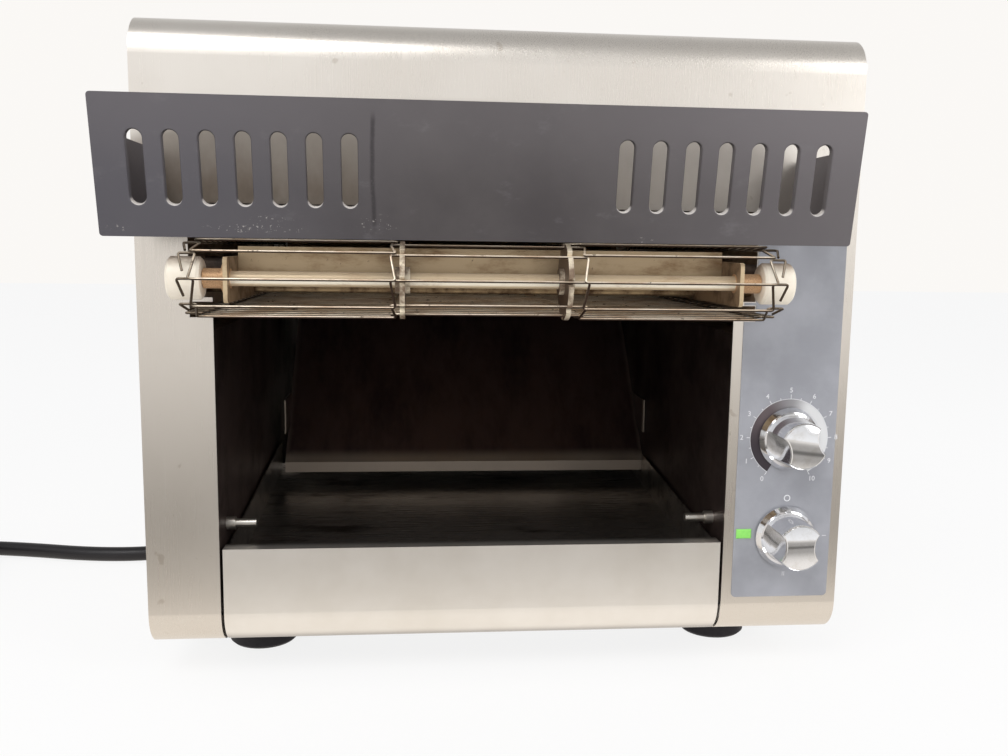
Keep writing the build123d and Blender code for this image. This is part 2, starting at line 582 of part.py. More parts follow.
def make_wall_bearing():
    """Flange bearing of the drive shaft on the right lining."""
    x = CHAMBER_X[1]
    body = rod_x(BUSH_R, x - 2.0, x + SHEET, DRIVE_Y, SHAFT_Z)
    body += rod_x(14.0, x + SHEET, x + SHEET + 5.0, DRIVE_Y, SHAFT_Z)
    return body - rod_x(SHAFT_R + FIT, x - 3, x + 10, DRIVE_Y, SHAFT_Z)


def strand_wire():
    """One strand in its own frame: x across, y along the belt, z outward."""
    a, b = LINK_U
    s, up, dn = LINK_LEAN, WIRE_LIFT, -WIRE_LIFT
    half = [(0.0, PITCH, dn), (a + s, PITCH, dn), (a - s, 0.0, up), (b + s, 0.0, up),
            (b - s, PITCH, dn), (BELT_HALF, PITCH, dn),
            (BELT_HALF - 3.0, HOOK_BACK * PITCH, dn)]
    pts = [(-x, y, z) for x, y, z in reversed(half[1:])] + half[1:]
    path = Polyline(*pts)
    start = Vector(*pts[0])
    section = Plane(origin=start, z_dir=Vector(*pts[1]) - start) * RegularPolygon(WIRE / 2, 6)
    return sweep(section, path=path, transition=Transition.RIGHT)


def make_belt():
    strand = strand_wire()
    out = []
    for y, z, heading in loop_sides(PITCH, TEETH, STRAIGHT):
        out.append(Pos(CONV_X, NOSE_Y + y, SHAFT_Z + z) * Rot(heading, 0, 0) * strand)
    return out


# ------------------------------------------------------------------ heaters
def make_lower_reflector():
    y0, y1 = LOW_REFL_Y
    pts = [(y0, LOW_REFL_Z + LOW_REFL_H), (y0, LOW_REFL_Z), (y1, LOW_REFL_Z), (y1, LOW_REFL_Z + LOW_REFL_H)]
    return along_x(strip(pts, SHEET), CONV_X - RAIL_U, CONV_X + RAIL_U)


def make_upper_reflector():
    y0, y1 = UP_REFL_Y
    z0, z1 = UP_REFL_Z - UP_REFL_H, UP_REFL_Z
    pts = [(y0 - 8, z0), (y0, z1), (y1, z1), (y1 + 8, z0)]
    return along_x(strip(pts, SHEET), *CHAMBER_X)


def heater_row(ys, z):
    reach = CAP_L + 3.0
    return [rod_x(HEATER_R, CHAMBER_X[0] - reach, CHAMBER_X[1] + reach, y, z) for y in ys]


def make_heater_caps():
    """Ceramic end sleeves outside the linings."""
    out = []
    for y, z in [(y, LOW_HEATER_Z) for y in LOW_HEATER_Y] + [(y, UP_HEATER_Z) for y in UP_HEATER_Y]:
        for a, b in ((CHAMBER_X[0] - SHEET - CAP_L, CHAMBER_X[0] - SHEET),
                     (CHAMBER_X[1] + SHEET, CHAMBER_X[1] + SHEET + CAP_L)):
            cap = Pos((a + b) / 2, y, z) * Rot(0, 90, 0) * extrude(
                RegularPolygon(CAP_R, 8), CAP_L / 2, both=True)
            out.append(cap - rod_x(HEATER_R, a - 1, b + 1, y, z))
    return out


# ------------------------------------------------------------------ heat shield
def slot_places():
    first = SLOT_INNER / 2
    return [s * (first + i * SLOT_PITCH) for s in (-1, 1) for i in range(SLOT_N)]


def make_heat_shield():
    """Flat plate whose slots have a rolled mouth and a rim turned back."""
    plate = extrude(Pos(0, SHIELD_H / 2) * RectangleRounded(SHIELD_W, SHIELD_H, SHIELD_CORNER), -SHIELD_T)
    places = [Pos(u, SLOT_UP) * Rot(0, 0, 90) for u in slot_places()]
    for at in places:
        plate += extrude(at * SlotOverall(SLOT_L + 2 * COLLAR_T, SLOT_W + 2 * COLLAR_T), -COLLAR_DEEP)
    for at in places:
        plate -= extrude(at * SlotOverall(SLOT_L, SLOT_W), -COLLAR_DEEP)
    front = plate.faces().filter_by(Axis.Z).sort_by(Axis.Z)[-1]
    mouths = [e for w in front.inner_wires() for e in w.edges()]
    return SHIELD_PLANE.location * fillet(mouths, SLOT_ROUND)


def brackets():
    """Side, web face towards the middle, width of the foot and its bottom, for each bracket."""
    return list(zip((-1, 1), BRACKET_X, BRACKET_FOOT, BRACKET_FOOT_Z))


def make_shield_brackets():
    """Web from the face to the shield, with a flange at each end."""
    out = []
    s, c = sin(radians(SHIELD_LEAN)), cos(radians(SHIELD_LEAN))

    def back_of_plate(v):
        return (-SHIELD_GAP - v * s + SHIELD_T * c, SHIELD_Z + v * c + SHIELD_T * s)

    lo, hi = [back_of_plate(v) for v in BRACKET_UP]
    for side, x, foot_w, low in brackets():
        web = along_x(polygon((0, low), lo, hi, (0, BRACKET_TOP)), *sorted((x, x + side * BRACKET_T)))
        flange = Pos(x - SHIELD_X + side * BRACKET_FLANGE / 2, sum(BRACKET_UP) / 2) * Rectangle(
            BRACKET_FLANGE, BRACKET_UP[1] - BRACKET_UP[0])
        front = extrude(SHIELD_PLANE.offset(-SHIELD_T) * flange, -BRACKET_T)
        foot = block(sorted((x, x + side * foot_w)), (-BRACKET_T, 0), (low, BRACKET_TOP))
        out.append(web + front + foot)
    return out


# ------------------------------------------------------------------ controls
def make_control_overlay():
    plate = block(PANEL_X, (-PANEL_T, 0), PANEL_Z)
    upright = plate.edges().filter_by(Axis.Y)
    plate = fillet(upright, 3.0)
    plate -= front_openings(0.5)
    for x, z in ((DIAL_X, DIAL_Z), (SELECT_X, SELECT_Z)):
        plate -= rod_y(COLLAR_R, -PANEL_T - 1, 1, x, z)
    plate -= block((LAMP_X - LAMP_W / 2, LAMP_X + LAMP_W / 2), (-PANEL_T - 1, 1),
                   (LAMP_Z - LAMP_H / 2, LAMP_Z + LAMP_H / 2))
    return plate


def grip_outline(k):
    """The grip seen from the front: a round bar end to end, scooped in at both sides."""
    bar = Circle(GRIP_R)
    for s in (-1, 1):
        bar -= Pos(s * (GRIP_WAIST / 2 + GRIP_R), 0) * Circle(GRIP_R)
    return scale(bar, by=k)


def make_knob(turn):
    """Bevelled skirt with a deep waisted grip; axis +Z, base at 0."""
    r, h = KNOB_R, KNOB_SKIRT
    skirt = polygon((0, 0), (r, 0), (r, 1.4), (r - 2.4, h), (r - 4.0, h - 0.8), (0, h - 0.8))
    knob = revolve(Plane.XZ * skirt, Axis.Z)
    grip = loft([grip_outline(GRIP_DRAFT), Pos(0, 0, KNOB_H) * grip_outline(1.0)], ruled=True)
    front = grip.faces().sort_by(Axis.Z)[-1]
    knob += chamfer(front.edges(), 1.0)
    bore = KNOB_H - KNOB_WALL
    knob -= Pos(0, 0, bore / 2) * Cylinder(SPINDLE_R, bore)
    return Rot(0, 0, turn) * knob


def place_knob(knob, x, z):
    return Pos(x, -PANEL_T - KNOB_GAP, z) * Rot(90, 0, 0) * knob


def make_spindle(x, z):
    return rod_y(SPINDLE_R, -PANEL_T - KNOB_GAP - KNOB_H + KNOB_WALL, SPINDLE_IN, x, z)


def make_potentiometer():
    body = rod_y(POT_R, SHEET, SHEET + POT_L, DIAL_X, DIAL_Z)
    body += rod_y(COLLAR_R, -PANEL_T, SHEET, DIAL_X, DIAL_Z)
    body += block((DIAL_X - 8, DIAL_X + 8), (SHEET + 3, SHEET + 5), (DIAL_Z - POT_R - 8, DIAL_Z))
    return body - rod_y(SPINDLE_R + FIT, -PANEL_T - 1, SPINDLE_IN + 5, DIAL_X, DIAL_Z)


def make_rotary_switch():
    w = SWITCH_W / 2
    body = block((SELECT_X - w, SELECT_X + w), (SHEET, SHEET + SWITCH_L), (SELECT_Z - w, SELECT_Z + w))
    body += rod_y(COLLAR_R, -PANEL_T, SHEET, SELECT_X, SELECT_Z)
    for dx in (-10, 0, 10):
        for dz in (-8, 8):
            body += block((SELECT_X + dx - 3, SELECT_X + dx + 3),
                          (SHEET + SWITCH_L, SHEET + SWITCH_L + 7),
                          (SELECT_Z + dz - 0.4, SELECT_Z + dz + 0.4))
    return body - rod_y(SPINDLE_R + FIT, -PANEL_T - 1, SPINDLE_IN + 1, SELECT_X, SELECT_Z)


def lamp_block(grow, y0, y1):
    w, h = LAMP_W / 2 + grow, LAMP_H / 2 + grow
    return block((LAMP_X - w, LAMP_X + w), (y0, y1), (LAMP_Z - h, LAMP_Z + h))


def make_lamp_lens():
    lens = lamp_block(0.0, -PANEL_T - 1.2, SHEET)
    rim = lens.faces().sort_by(Axis.Y)[0].edges()
    return chamfer(rim, 0.8)


def make_lamp_body():
    return lamp_block(0.0, SHEET, LAMP_L) - rod_y(1.6, LAMP_L - 4, LAMP_L + 1, LAMP_X, LAMP_Z)


# ------------------------------------------------------------------ drive
def chain_wheel(x, y, z, bore, lead):
    """Roller-chain wheel: tooth gaps clear the chain rollers by the play."""
    gap = CHAIN_ROLLER_R + CHAIN_PLAY
    wheel = Circle(CHAIN_R + CHAIN_TIP)
    for i in range(CHAIN_TEETH):
        a = lead + i * 360.0 / CHAIN_TEETH
        wheel -= Rot(0, 0, a) * (Pos(CHAIN_R, 0) * Circle(gap) + polygon(
            (CHAIN_R, -gap), (CHAIN_R + 5, -gap - 3.0), (CHAIN_R + 5, gap + 3.0), (CHAIN_R, gap)))
    disc = Pos(-CHAIN_WHEEL_T / 2, 0, 0) * extrude(Plane.YZ * wheel, CHAIN_WHEEL_T)
    disc += rod_x(9.0, -CHAIN_WHEEL_T / 2, CHAIN_WHEEL_T / 2 + 6.0, 0, 0)
    return Pos(x, y, z) * (disc - rod_x(bore, -10, 20, 0, 0))


def chain_turn():
    """Heading of the chain run from the drive shaft down to the motor, in (y, z)."""
    return degrees(atan2(MOTOR_Z - SHAFT_Z, MOTOR_Y - DRIVE_Y))


def make_chain():
    """Rollers on the corners of the pitch polygon, inner and outer plates in turn."""
    out = []
    w = CHAIN_IN / 2
    h = CHAIN_PLATE_H / 2
    roller = Rot(0, 90, 0) * extrude(RegularPolygon(CHAIN_ROLLER_R, 6), w, both=True)
    e = CHAIN_PITCH + h * 0.75
    plate = polygon((-h * 0.75, -h * 0.45), (-h * 0.75, h * 0.45), (0.0, h), (CHAIN_PITCH, h),
                    (e, h * 0.45), (e, -h * 0.45), (CHAIN_PITCH, -h), (0.0, -h))
    for i, (y, z, heading) in enumerate(loop_sides(CHAIN_PITCH, CHAIN_TEETH, CHAIN_STRAIGHT)):
        at = Pos(CHAIN_U, DRIVE_Y, SHAFT_Z) * Rot(chain_turn(), 0, 0) * Pos(0, y, z) * Rot(heading, 0, 0)
        out.append(at * roller)
        gap = w + (i % 2) * (CHAIN_PLATE + 0.1)
        for s in (-1, 1):
            a, b = sorted((s * gap, s * (gap + CHAIN_PLATE)))
            out.append(at * along_x(plate, a, b))
    return out


def gearbox_x():
    x0 = OPEN_X[1] + SHEET + PLATE_T
    return x0, x0 + GEARBOX[0]


def make_gearmotor():
    """Right-angle gearmotor: gearbox on the plate, motor can pointing forward."""
    x = gearbox_x()
    y = (MOTOR_Y - GEARBOX[1] / 2, MOTOR_Y + GEARBOX[1] / 2)
    z = (MOTOR_Z - GEARBOX[2] / 2, MOTOR_Z + GEARBOX[2] / 2)
    box = block(x, y, z)
    box = chamfer(box.edges().filter_by(Axis.X), 8.0)
    can_x = OPEN_X[1] + SHEET + PLATE_T + MOTOR_R
    can = rod_y(MOTOR_R, y[0] - MOTOR_L, y[0], can_x, MOTOR_Z)
    can = can - rod_y(MOTOR_R - 6, y[0] - MOTOR_L - 1, y[0] - MOTOR_L + 2, can_x, MOTOR_Z)
    return box + can - rod_x(MOTOR_SHAFT_R + FIT, x[1] - 20, x[1] + 1, MOTOR_Y, MOTOR_Z)


def make_motor_plate():
    x = (OPEN_X[1] + SHEET, OPEN_X[1] + SHEET + PLATE_T)
    y = (MOTOR_Y - GEARBOX[1] / 2 - 8, MOTOR_Y + GEARBOX[1] / 2 + 8)
    z = (MOTOR_Z - GEARBOX[2] / 2 - 8, MOTOR_Z + GEARBOX[2] / 2 + 8)
    return block(x, y, z)


def make_motor_shaft():
    x = gearbox_x()
    return rod_x(MOTOR_SHAFT_R, x[1] - 19, CHAIN_U + CHAIN_WHEEL_T / 2 + 8.0, MOTOR_Y, MOTOR_Z)


def make_speed_board():
    x0 = OPEN_X[1] + SHEET
    x1, y, z = x0 + BOARD_OFF, BOARD_Y, FOOT_H + BOARD_UP
    board = block((x1, x1 + BOARD_T), (y, y + BOARD_L), (z, z + BOARD_H))
    for dy in (BOARD_EDGE, BOARD_L - BOARD_EDGE):
        for dz in (BOARD_EDGE, BOARD_H - BOARD_EDGE):
            board += rod_x(3.0, x0, x1, y + dy, z + dz)
    board += block((x1 + BOARD_T, x1 + 18), (y + 14, y + 38), (z + 20, z + 44))
    board += block((x1 + BOARD_T, x1 + 12), (y + 46, y + 70), (z + 56, z + 86))
    return board


def make_terminal_block():
    """Supply terminals on the base beside the cord's entry."""
    base = block((GLAND_X - 17, GLAND_X + 17), (BODY_D - 90, BODY_D - 50),
                 (FOOT_H + SHEET, FOOT_H + SHEET + 14))
    for x in (-11, 0, 11):
        base += block((GLAND_X + x - 4, GLAND_X + x + 4), (BODY_D - 84, BODY_D - 56),
                      (FOOT_H + SHEET + 14, FOOT_H + SHEET + 22))
    return base


def make_fan_frame():
    y = (BODY_D - SHEET - FAN_D, BODY_D - SHEET)
    w = FAN_W / 2
    frame = block((FAN_X - w, FAN_X + w), y, (FAN_Z - w, FAN_Z + w))
    frame -= rod_y(FAN_R + 1.0, y[0] + 2, y[1] + 1, FAN_X, FAN_Z)
    frame -= rod_y(FAN_R + 1.0, y[0] - 1, y[0] + 2, FAN_X, FAN_Z)
    strut = block((FAN_X - w, FAN_X + w), (y[0], y[0] + 2), (FAN_Z - 2.5, FAN_Z + 2.5))
    motor = rod_y(FAN_HUB_R, y[0], y[0] + 5, FAN_X, FAN_Z)
    return frame + strut + motor - rod_y(1.5 + FIT, y[0] + 2, y[0] + 6, FAN_X, FAN_Z)


def make_fan_impeller():
    y0 = BODY_D - SHEET - FAN_D + 6.0
    hub = rod_y(FAN_HUB_R, y0, y0 + 14, FAN_X, FAN_Z) + rod_y(1.5, y0 - 3.5, y0, FAN_X, FAN_Z)
    for i in range(FAN_BLADES):
        blade = Pos((FAN_HUB_R + FAN_R) / 2 - 0.8, 0, 0) * Rot(32, 0, 0) * Box(FAN_R - FAN_HUB_R, 1.4, 15)
        hub += Pos(FAN_X, y0 + 7, FAN_Z) * Rot(0, i * 360.0 / FAN_BLADES, 0) * blade
    return hub


# ------------------------------------------------------------------ supply cord
CORD_FEED = [
    (GLAND_X, BODY_D + GLAND_L, GLAND_Z),
    (GLAND_X, BODY_D + GLAND_L + 61, GLAND_Z),
    (GLAND_X - 33, BODY_D + GLAND_L + 121, GLAND_Z - 20),
    (GLAND_X - 95, BODY_D + GLAND_L + 137, GLAND_Z - 42),
    (-352.0, 560.0, CORD_R),
    (-346.0, 496.0, CORD_R),
    (-303.0, 448.0, CORD_R),
    (-263.0, 398.0, CORD_R),
    (-243.0, 340.0, CORD_R),
    (-257.0, 296.0, CORD_R),
    (-294.0, 268.0, CORD_R),
    (-352.0, 266.0, CORD_R),
    (-425.0, 286.0, CORD_R),
    (-478.0, COIL_Y + COIL_R - 0.5, CORD_R),
    (COIL_X, COIL_Y + COIL_R, CORD_R),
]
CORD_TAIL = [
    (COIL_X - COIL_R, COIL_Y, COIL_TOP - CORD_R),
    (COIL_X - COIL_R, COIL_Y - 36, COIL_TOP - CORD_R - 2),
    (COIL_X - COIL_R + 3, COIL_Y - 74, COIL_TOP - CORD_R - 14),
    (COIL_X - COIL_R, COIL_Y - 110, PLUG_H / 2),
    (COIL_X - COIL_R - 3, COIL_Y - 142, PLUG_H / 2),
]


def corner_radii(points):
    """The largest arc that each corner's two runs allow."""
    radii = []
    for a, b, c in zip(points, points[1:], points[2:]):
        u, v = Vector(*b) - Vector(*a), Vector(*c) - Vector(*b)
        turn = radians(u.get_angle(v))
        radii.append(0.45 * min(u.length, v.length) / tan(turn / 2))
    return radii


def cord_tube(points):
    path = FilletPolyline(*points, radius=corner_radii(points))
    section = Plane(origin=path @ 0, z_dir=path % 0) * Circle(CORD_R)
    return sweep(section, path=path)


def make_cord_coil():
    """The wound length as one ring."""
    ring = Circle(COIL_R + CORD_R) - Circle(COIL_R - CORD_R)
    return Pos(COIL_X, COIL_Y, 0) * extrude(ring, COIL_TOP)


def make_strain_relief():
    """Collar outside the back panel, neck through it, nut inside."""
    y = BODY_D
    body = rod_y(GLAND_R, y, y + 7.0, GLAND_X, GLAND_Z)
    cone = Pos(GLAND_X, y + 7.0 + (GLAND_L - 7.0) / 2, GLAND_Z) * Rot(-90, 0, 0) * Cone(
        GLAND_R - 1.0, CORD_R + 1.5, GLAND_L - 7.0)
    neck = rod_y(GLAND_NECK, y - SHEET - 6.0, y, GLAND_X, GLAND_Z)
    nut = Pos(GLAND_X, y - SHEET, GLAND_Z) * Rot(90, 0, 0) * extrude(RegularPolygon(GLAND_R, 6), 4.0)
    return body + cone + neck + nut


def plug_frame():
    end, before = Vector(*CORD_TAIL[-1]), Vector(*CORD_TAIL[-2])
    return Plane(origin=end, x_dir=(0, 0, 1), z_dir=(end.X - before.X, end.Y - before.Y, 0))


def make_plug():
    """Moulded plug: narrow neck at the cord, straight-sided body, on its side."""
    p = plug_frame()
    sections = []
    for z, k in ((0.0, 0.55), (PLUG_L * 0.4, 0.75), (PLUG_L * 0.6, 1.0), (PLUG_L, 1.0)):
        sections.append(p.offset(z) * RectangleRounded(PLUG_H * k, PLUG_W * k, 5.0 * k))
    return loft(sections, ruled=True)


def make_plug_blades():
    p = plug_frame().offset(PLUG_L)
    out = []
    for x, y, w, t in ((-4.0, -7.0, BLADE_W, BLADE_T), (-4.0, 7.0, BLADE_W, BLADE_T)):
        out.append(extrude(p * (Pos(x, y) * Rectangle(w, t)), BLADE_L))
    out.append(extrude(p * (Pos(7.0, 0) * Circle(2.4)), BLADE_L + 3.0))
    return out


def write(name, shape, shift=ORIGIN):
    """Write one piece, or several alike, to its own STEP file."""
    shapes = shape if isinstance(shape, list) else [shape]
    solids = [s for one in shapes for s in one.solids()]
    moved = [Pos(*shift) * s for s in solids]
    for s in moved:
        s.label = name
    out = moved[0] if len(moved) == 1 else Compound(children=moved, label=name)
    export_step(out, os.path.join("parts", name + ".step"))


def main():
    os.makedirs("parts", exist_ok=True)
    _, lead = wire_in_sprocket()
    pieces = {
        "outer_wrap": make_outer_wrap(),
        "left_side_panel": make_side_panel(-1),
        "right_side_panel": make_side_panel(1),
        "base_pan": make_base_pan(),
        "back_panel": make_back_panel(),
        "rubber_feet": make_feet(),
        "casing_screws": make_casing_screws(),
        "left_lining": make_cavity_wall(-1),
        "right_lining": make_cavity_wall(1),
        "chamber_roof": make_chamber_roof(),
        "insulation": make_insulation(),
        "return_chute": make_return_chute(),
        "tray_runners": make_tray_runners(),
        "tray_pins": make_tray_pins(),
        "product_tray": make_product_tray(),
        "left_rail": make_rail(-1),
        "right_rail": make_rail(1),
        "cross_bars": make_cross_bars(),
        "idler_bushes": [rail_bush(s, NOSE_Y) for s in (-1, 1)],
        "drive_bushes": [rail_bush(s, DRIVE_Y) for s in (-1, 1)],
        "idler_shaft": make_idler_shaft(),
        "idler_sprockets": belt_sprockets(NOSE_Y, lead),
        "idler_rollers": make_idler_rollers(),
        "drive_shaft": make_drive_shaft(),
        "drive_sprockets": belt_sprockets(DRIVE_Y, lead),
        "drive_collars": [drive_collar(s, DRIVE_Y) for s in (-1, 1)],
        "wall_bearing": make_wall_bearing(),
        "conveyor_belt": make_belt(),
        "lower_reflector": make_lower_reflector(),
        "upper_reflector": make_upper_reflector(),
        "lower_heaters": heater_row(LOW_HEATER_Y, LOW_HEATER_Z),
        "upper_heaters": heater_row(UP_HEATER_Y, UP_HEATER_Z),
        "heater_caps": make_heater_caps(),
        "heat_shield": make_heat_shield(),
        "shield_brackets": make_shield_brackets(),
        "control_overlay": make_control_overlay(),
        "speed_knob": place_knob(make_knob(DIAL_TURN), DIAL_X, DIAL_Z),
        "speed_spindle": make_spindle(DIAL_X, DIAL_Z),
        "selector_knob": place_knob(make_knob(0.0), SELECT_X, SELECT_Z),
        "selector_spindle": make_spindle(SELECT_X, SELECT_Z),
        "potentiometer": make_potentiometer(),
        "rotary_switch": make_rotary_switch(),
        "lamp_lens": make_lamp_lens(),
        "lamp_body": make_lamp_body(),
        "gearmotor": make_gearmotor(),
        "motor_plate": make_motor_plate(),
        "motor_shaft": make_motor_shaft(),
        "motor_chain_wheel": chain_wheel(CHAIN_U, MOTOR_Y, MOTOR_Z, MOTOR_SHAFT_R, chain_turn() + 90.0),
        "drive_chain_wheel": chain_wheel(CHAIN_U, DRIVE_Y, SHAFT_Z, SHAFT_R, chain_turn() + 90.0),
        "drive_chain": make_chain(),
        "speed_board": make_speed_board(),
        "terminal_block": make_terminal_block(),
        "fan_frame": make_fan_frame(),
        "fan_impeller": make_fan_impeller(),
        "strain_relief": make_strain_relief(),
        "power_cord": [cord_tube(CORD_FEED), cord_tube(CORD_TAIL)],
        "cord_coil": make_cord_coil(),
        "cord_plug": make_plug(),
        "plug_blades": make_plug_blades(),
    }
    for name, shape in pieces.items():
        write(name, shape)
    for name, points in (("feed", CORD_FEED), ("tail", CORD_TAIL)):
        print("cord", name, "radii", [round(r) for r in corner_radii(points)])


main()
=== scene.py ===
"""Finishes and fine detail of the conveyor toaster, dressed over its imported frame.

Metres, +Z up, front towards -Y, in the frame's own axes.
"""
import math

import bmesh
import bpy
from mathutils import Matrix, Vector


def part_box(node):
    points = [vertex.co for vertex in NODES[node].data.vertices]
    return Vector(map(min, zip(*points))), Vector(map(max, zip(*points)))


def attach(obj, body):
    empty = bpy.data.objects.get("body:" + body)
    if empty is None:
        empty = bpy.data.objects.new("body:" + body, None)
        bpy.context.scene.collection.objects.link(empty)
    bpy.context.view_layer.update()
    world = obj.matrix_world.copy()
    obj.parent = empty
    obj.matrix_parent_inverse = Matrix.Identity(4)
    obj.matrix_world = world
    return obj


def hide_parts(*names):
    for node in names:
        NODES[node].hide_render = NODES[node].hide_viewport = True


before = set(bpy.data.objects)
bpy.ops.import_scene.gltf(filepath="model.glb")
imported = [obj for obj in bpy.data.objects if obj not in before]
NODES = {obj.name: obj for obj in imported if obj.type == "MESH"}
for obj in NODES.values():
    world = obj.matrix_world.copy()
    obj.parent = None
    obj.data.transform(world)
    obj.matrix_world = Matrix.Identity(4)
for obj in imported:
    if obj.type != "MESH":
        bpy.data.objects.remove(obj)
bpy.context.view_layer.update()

# ------------------------------------------------------------------ sizes read from the frame
PANEL_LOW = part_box("control_overlay")[0]
SPEED_LOW, SPEED_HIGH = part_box("speed_knob")
SELECT_LOW, SELECT_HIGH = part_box("selector_knob")
SHIELD_LOW, SHIELD_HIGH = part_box("heat_shield")
SHIELD_MID = (SHIELD_LOW.x + SHIELD_HIGH.x) / 2
CHUTE_LOW, CHUTE_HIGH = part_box("return_chute")
IDLER_LOW, IDLER_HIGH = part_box("idler_shaft")

MM = 0.001
SHEET = 1.2 * MM                          # casing and lining sheet
FACE_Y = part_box("outer_wrap")[0].y        # the casing's front face
BACK_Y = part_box("back_panel")[1].y - SHEET    # inner face of the back panel
BELT_X = (IDLER_LOW.x + IDLER_HIGH.x) / 2
SHAFT_Z = (IDLER_LOW.z + IDLER_HIGH.z) / 2
NOSE_Y = (IDLER_LOW.y + IDLER_HIGH.y) / 2
STEP_Z = SHAFT_Z - 35.3 * MM              # where the linings step in

# belt, as the source of the part has it
PITCH, TEETH, STRAIGHT = 16.5 * MM, 8, 23
WIRE, WIRE_GAP, BELT_HALF = 1.6 * MM, 0.3 * MM, 179.3 * MM
LINK_U, LINK_LEAN, HOOK_BACK = (57.1 * MM, 171.1 * MM), 1.5 * MM, 0.34


# ------------------------------------------------------------------ shader maths
class Val:
    """A socket that can be calculated with; each step adds its Math node."""

    def __init__(self, finish, socket):
        self.finish, self.socket = finish, socket

    def step(self, operation, *others, first=None):
        values = [self if first is None else first, *others]
        node = self.finish.node("ShaderNodeMath", {"operation": operation}, dict(enumerate(values)))
        return Val(self.finish, node.outputs[0])

    def __add__(self, other): return self.step("ADD", other)
    def __radd__(self, other): return self.step("ADD", other)
    def __sub__(self, other): return self.step("SUBTRACT", other)
    def __rsub__(self, other): return self.step("SUBTRACT", self, first=other)
    def __mul__(self, other): return self.step("MULTIPLY", other)
    def __truediv__(self, other): return self.step("DIVIDE", other)
    def __abs__(self): return self.step("ABSOLUTE")
    def most(self, other): return self.step("MAXIMUM", other)

    def fade(self, low, high, to_low=0.0, to_high=1.0):
        """Smooth change from to_low to to_high as the value goes from low to high."""
        node = self.finish.node(
            "ShaderNodeMapRange", {"interpolation_type": "SMOOTHSTEP"},
            {"Value": self, "From Min": low, "From Max": high, "To Min": to_low, "To Max": to_high})
        return Val(self.finish, node.outputs[0])


class Finish:
    """One material, built node by node."""

    def __init__(self, name):
        self.material = bpy.data.materials.new(name)
        self.material.use_nodes = True
        self.tree = self.material.node_tree
        self.tree.nodes.clear()
        self.places = None

    def node(self, kind, settings=None, values=None):
        node = self.tree.nodes.new(kind)
        for key, setting in (settings or {}).items():
            if key == "stops":
                for i, (place, colour) in enumerate(setting):
                    stop = node.color_ramp.elements[i] if i < 2 else node.color_ramp.elements.new(place)
                    stop.position, stop.color = place, (*colour, 1.0)
            else:
                setattr(node, key, setting)
        for key, value in (values or {}).items():
            if isinstance(value, Val):
                self.tree.links.new(value.socket, node.inputs[key])
            elif value is not None:
                full = isinstance(value, tuple) and len(value) == 3 and node.inputs[key].type == "RGBA"
                node.inputs[key].default_value = (*value, 1.0) if full else value
        return node

    def out(self, node, socket=0):
        return Val(self, node.outputs[socket])

    def place(self):
        """Position on the piece, in metres in the frame's axes."""
        if self.places is None:
            self.places = self.out(self.node("ShaderNodeTexCoord"), "Object")
        return self.places

    def xyz(self):
        split = self.node("ShaderNodeSeparateXYZ", None, {0: self.place()})
        return [self.out(split, i) for i in range(3)]

    def facing(self):
        """The way that the surface faces, as three values."""
        split = self.node("ShaderNodeSeparateXYZ", None, {
            0: self.out(self.node("ShaderNodeNewGeometry"), "Normal")})
        return [self.out(split, i) for i in range(3)]

    def patch(self, across, up, at, size, soft=0.4):
        """1 inside an ellipse about a place, fading out at its rim."""
        a, b = (across - at[0]) / size[0], (up - at[1]) / size[1]
        return (a * a + b * b).fade(1.0 - soft, 1.0 + soft, 1.0, 0.0)

    def stretched(self, scale, shift=(0.0, 0.0, 0.0)):
        node = self.node("ShaderNodeMapping", None, {0: self.place(), "Scale": scale, "Location": shift})
        return self.out(node)

    def noise(self, scale, stretch=(1.0, 1.0, 1.0), detail=3.0, rough=0.5, shift=(0.0, 0.0, 0.0)):
        """Noise from 0 to 1; a small stretch factor draws it out along that axis."""
        node = self.node("ShaderNodeTexNoise", None, {
            "Vector": self.stretched(tuple(s * scale for s in stretch), shift),
            "Scale": 1.0, "Detail": detail, "Roughness": rough})
        return self.out(node)

    def mix(self, factor, a, b, blend="MIX"):
        node = self.node("ShaderNodeMix", {"data_type": "RGBA", "blend_type": blend},
                         {0: factor, 6: a, 7: b})
        return self.out(node, 2)

    def bump(self, height, strength, distance):
        node = self.node("ShaderNodeBump", None,
                         {"Height": height, "Strength": strength, "Distance": distance})
        return self.out(node)

    def skin(self, color, rough, metal=0.0, normal=None, coat=None, ior=1.45,
             emit=None, emit_strength=0.0, sheen=0.0):
        """Finish with one Principled surface; plain numbers go on its own sockets."""
        values = {"Base Color": color, "Roughness": rough, "Metallic": metal, "IOR": ior,
                  "Normal": normal, "Sheen Weight": sheen}
        if coat is not None:
            values["Coat Weight"], values["Coat Roughness"] = coat, 0.1
        if emit is not None:
            values["Emission Color"], values["Emission Strength"] = emit, emit_strength
        shader = self.node("ShaderNodeBsdfPrincipled", None, values)
        output = self.node("ShaderNodeOutputMaterial")
        self.tree.links.new(shader.outputs[0], output.inputs[0])
        return self.material


def srgb(r, g, b):
    """Linear colour of a screen colour given from 0 to 255."""
    def one(c):
        c /= 255.0
        return c / 12.92 if c <= 0.04045 else ((c + 0.055) / 1.055) ** 2.4
    return one(r), one(g), one(b)


def grain(finish, along, fine=2600.0):
    """Brush lines of a sheet rubbed along one axis."""
    stretch = [1.0, 1.0, 1.0]
    stretch["xyz".index(along)] = 0.008
    return finish.noise(fine, tuple(stretch), detail=2.0, rough=0.6)


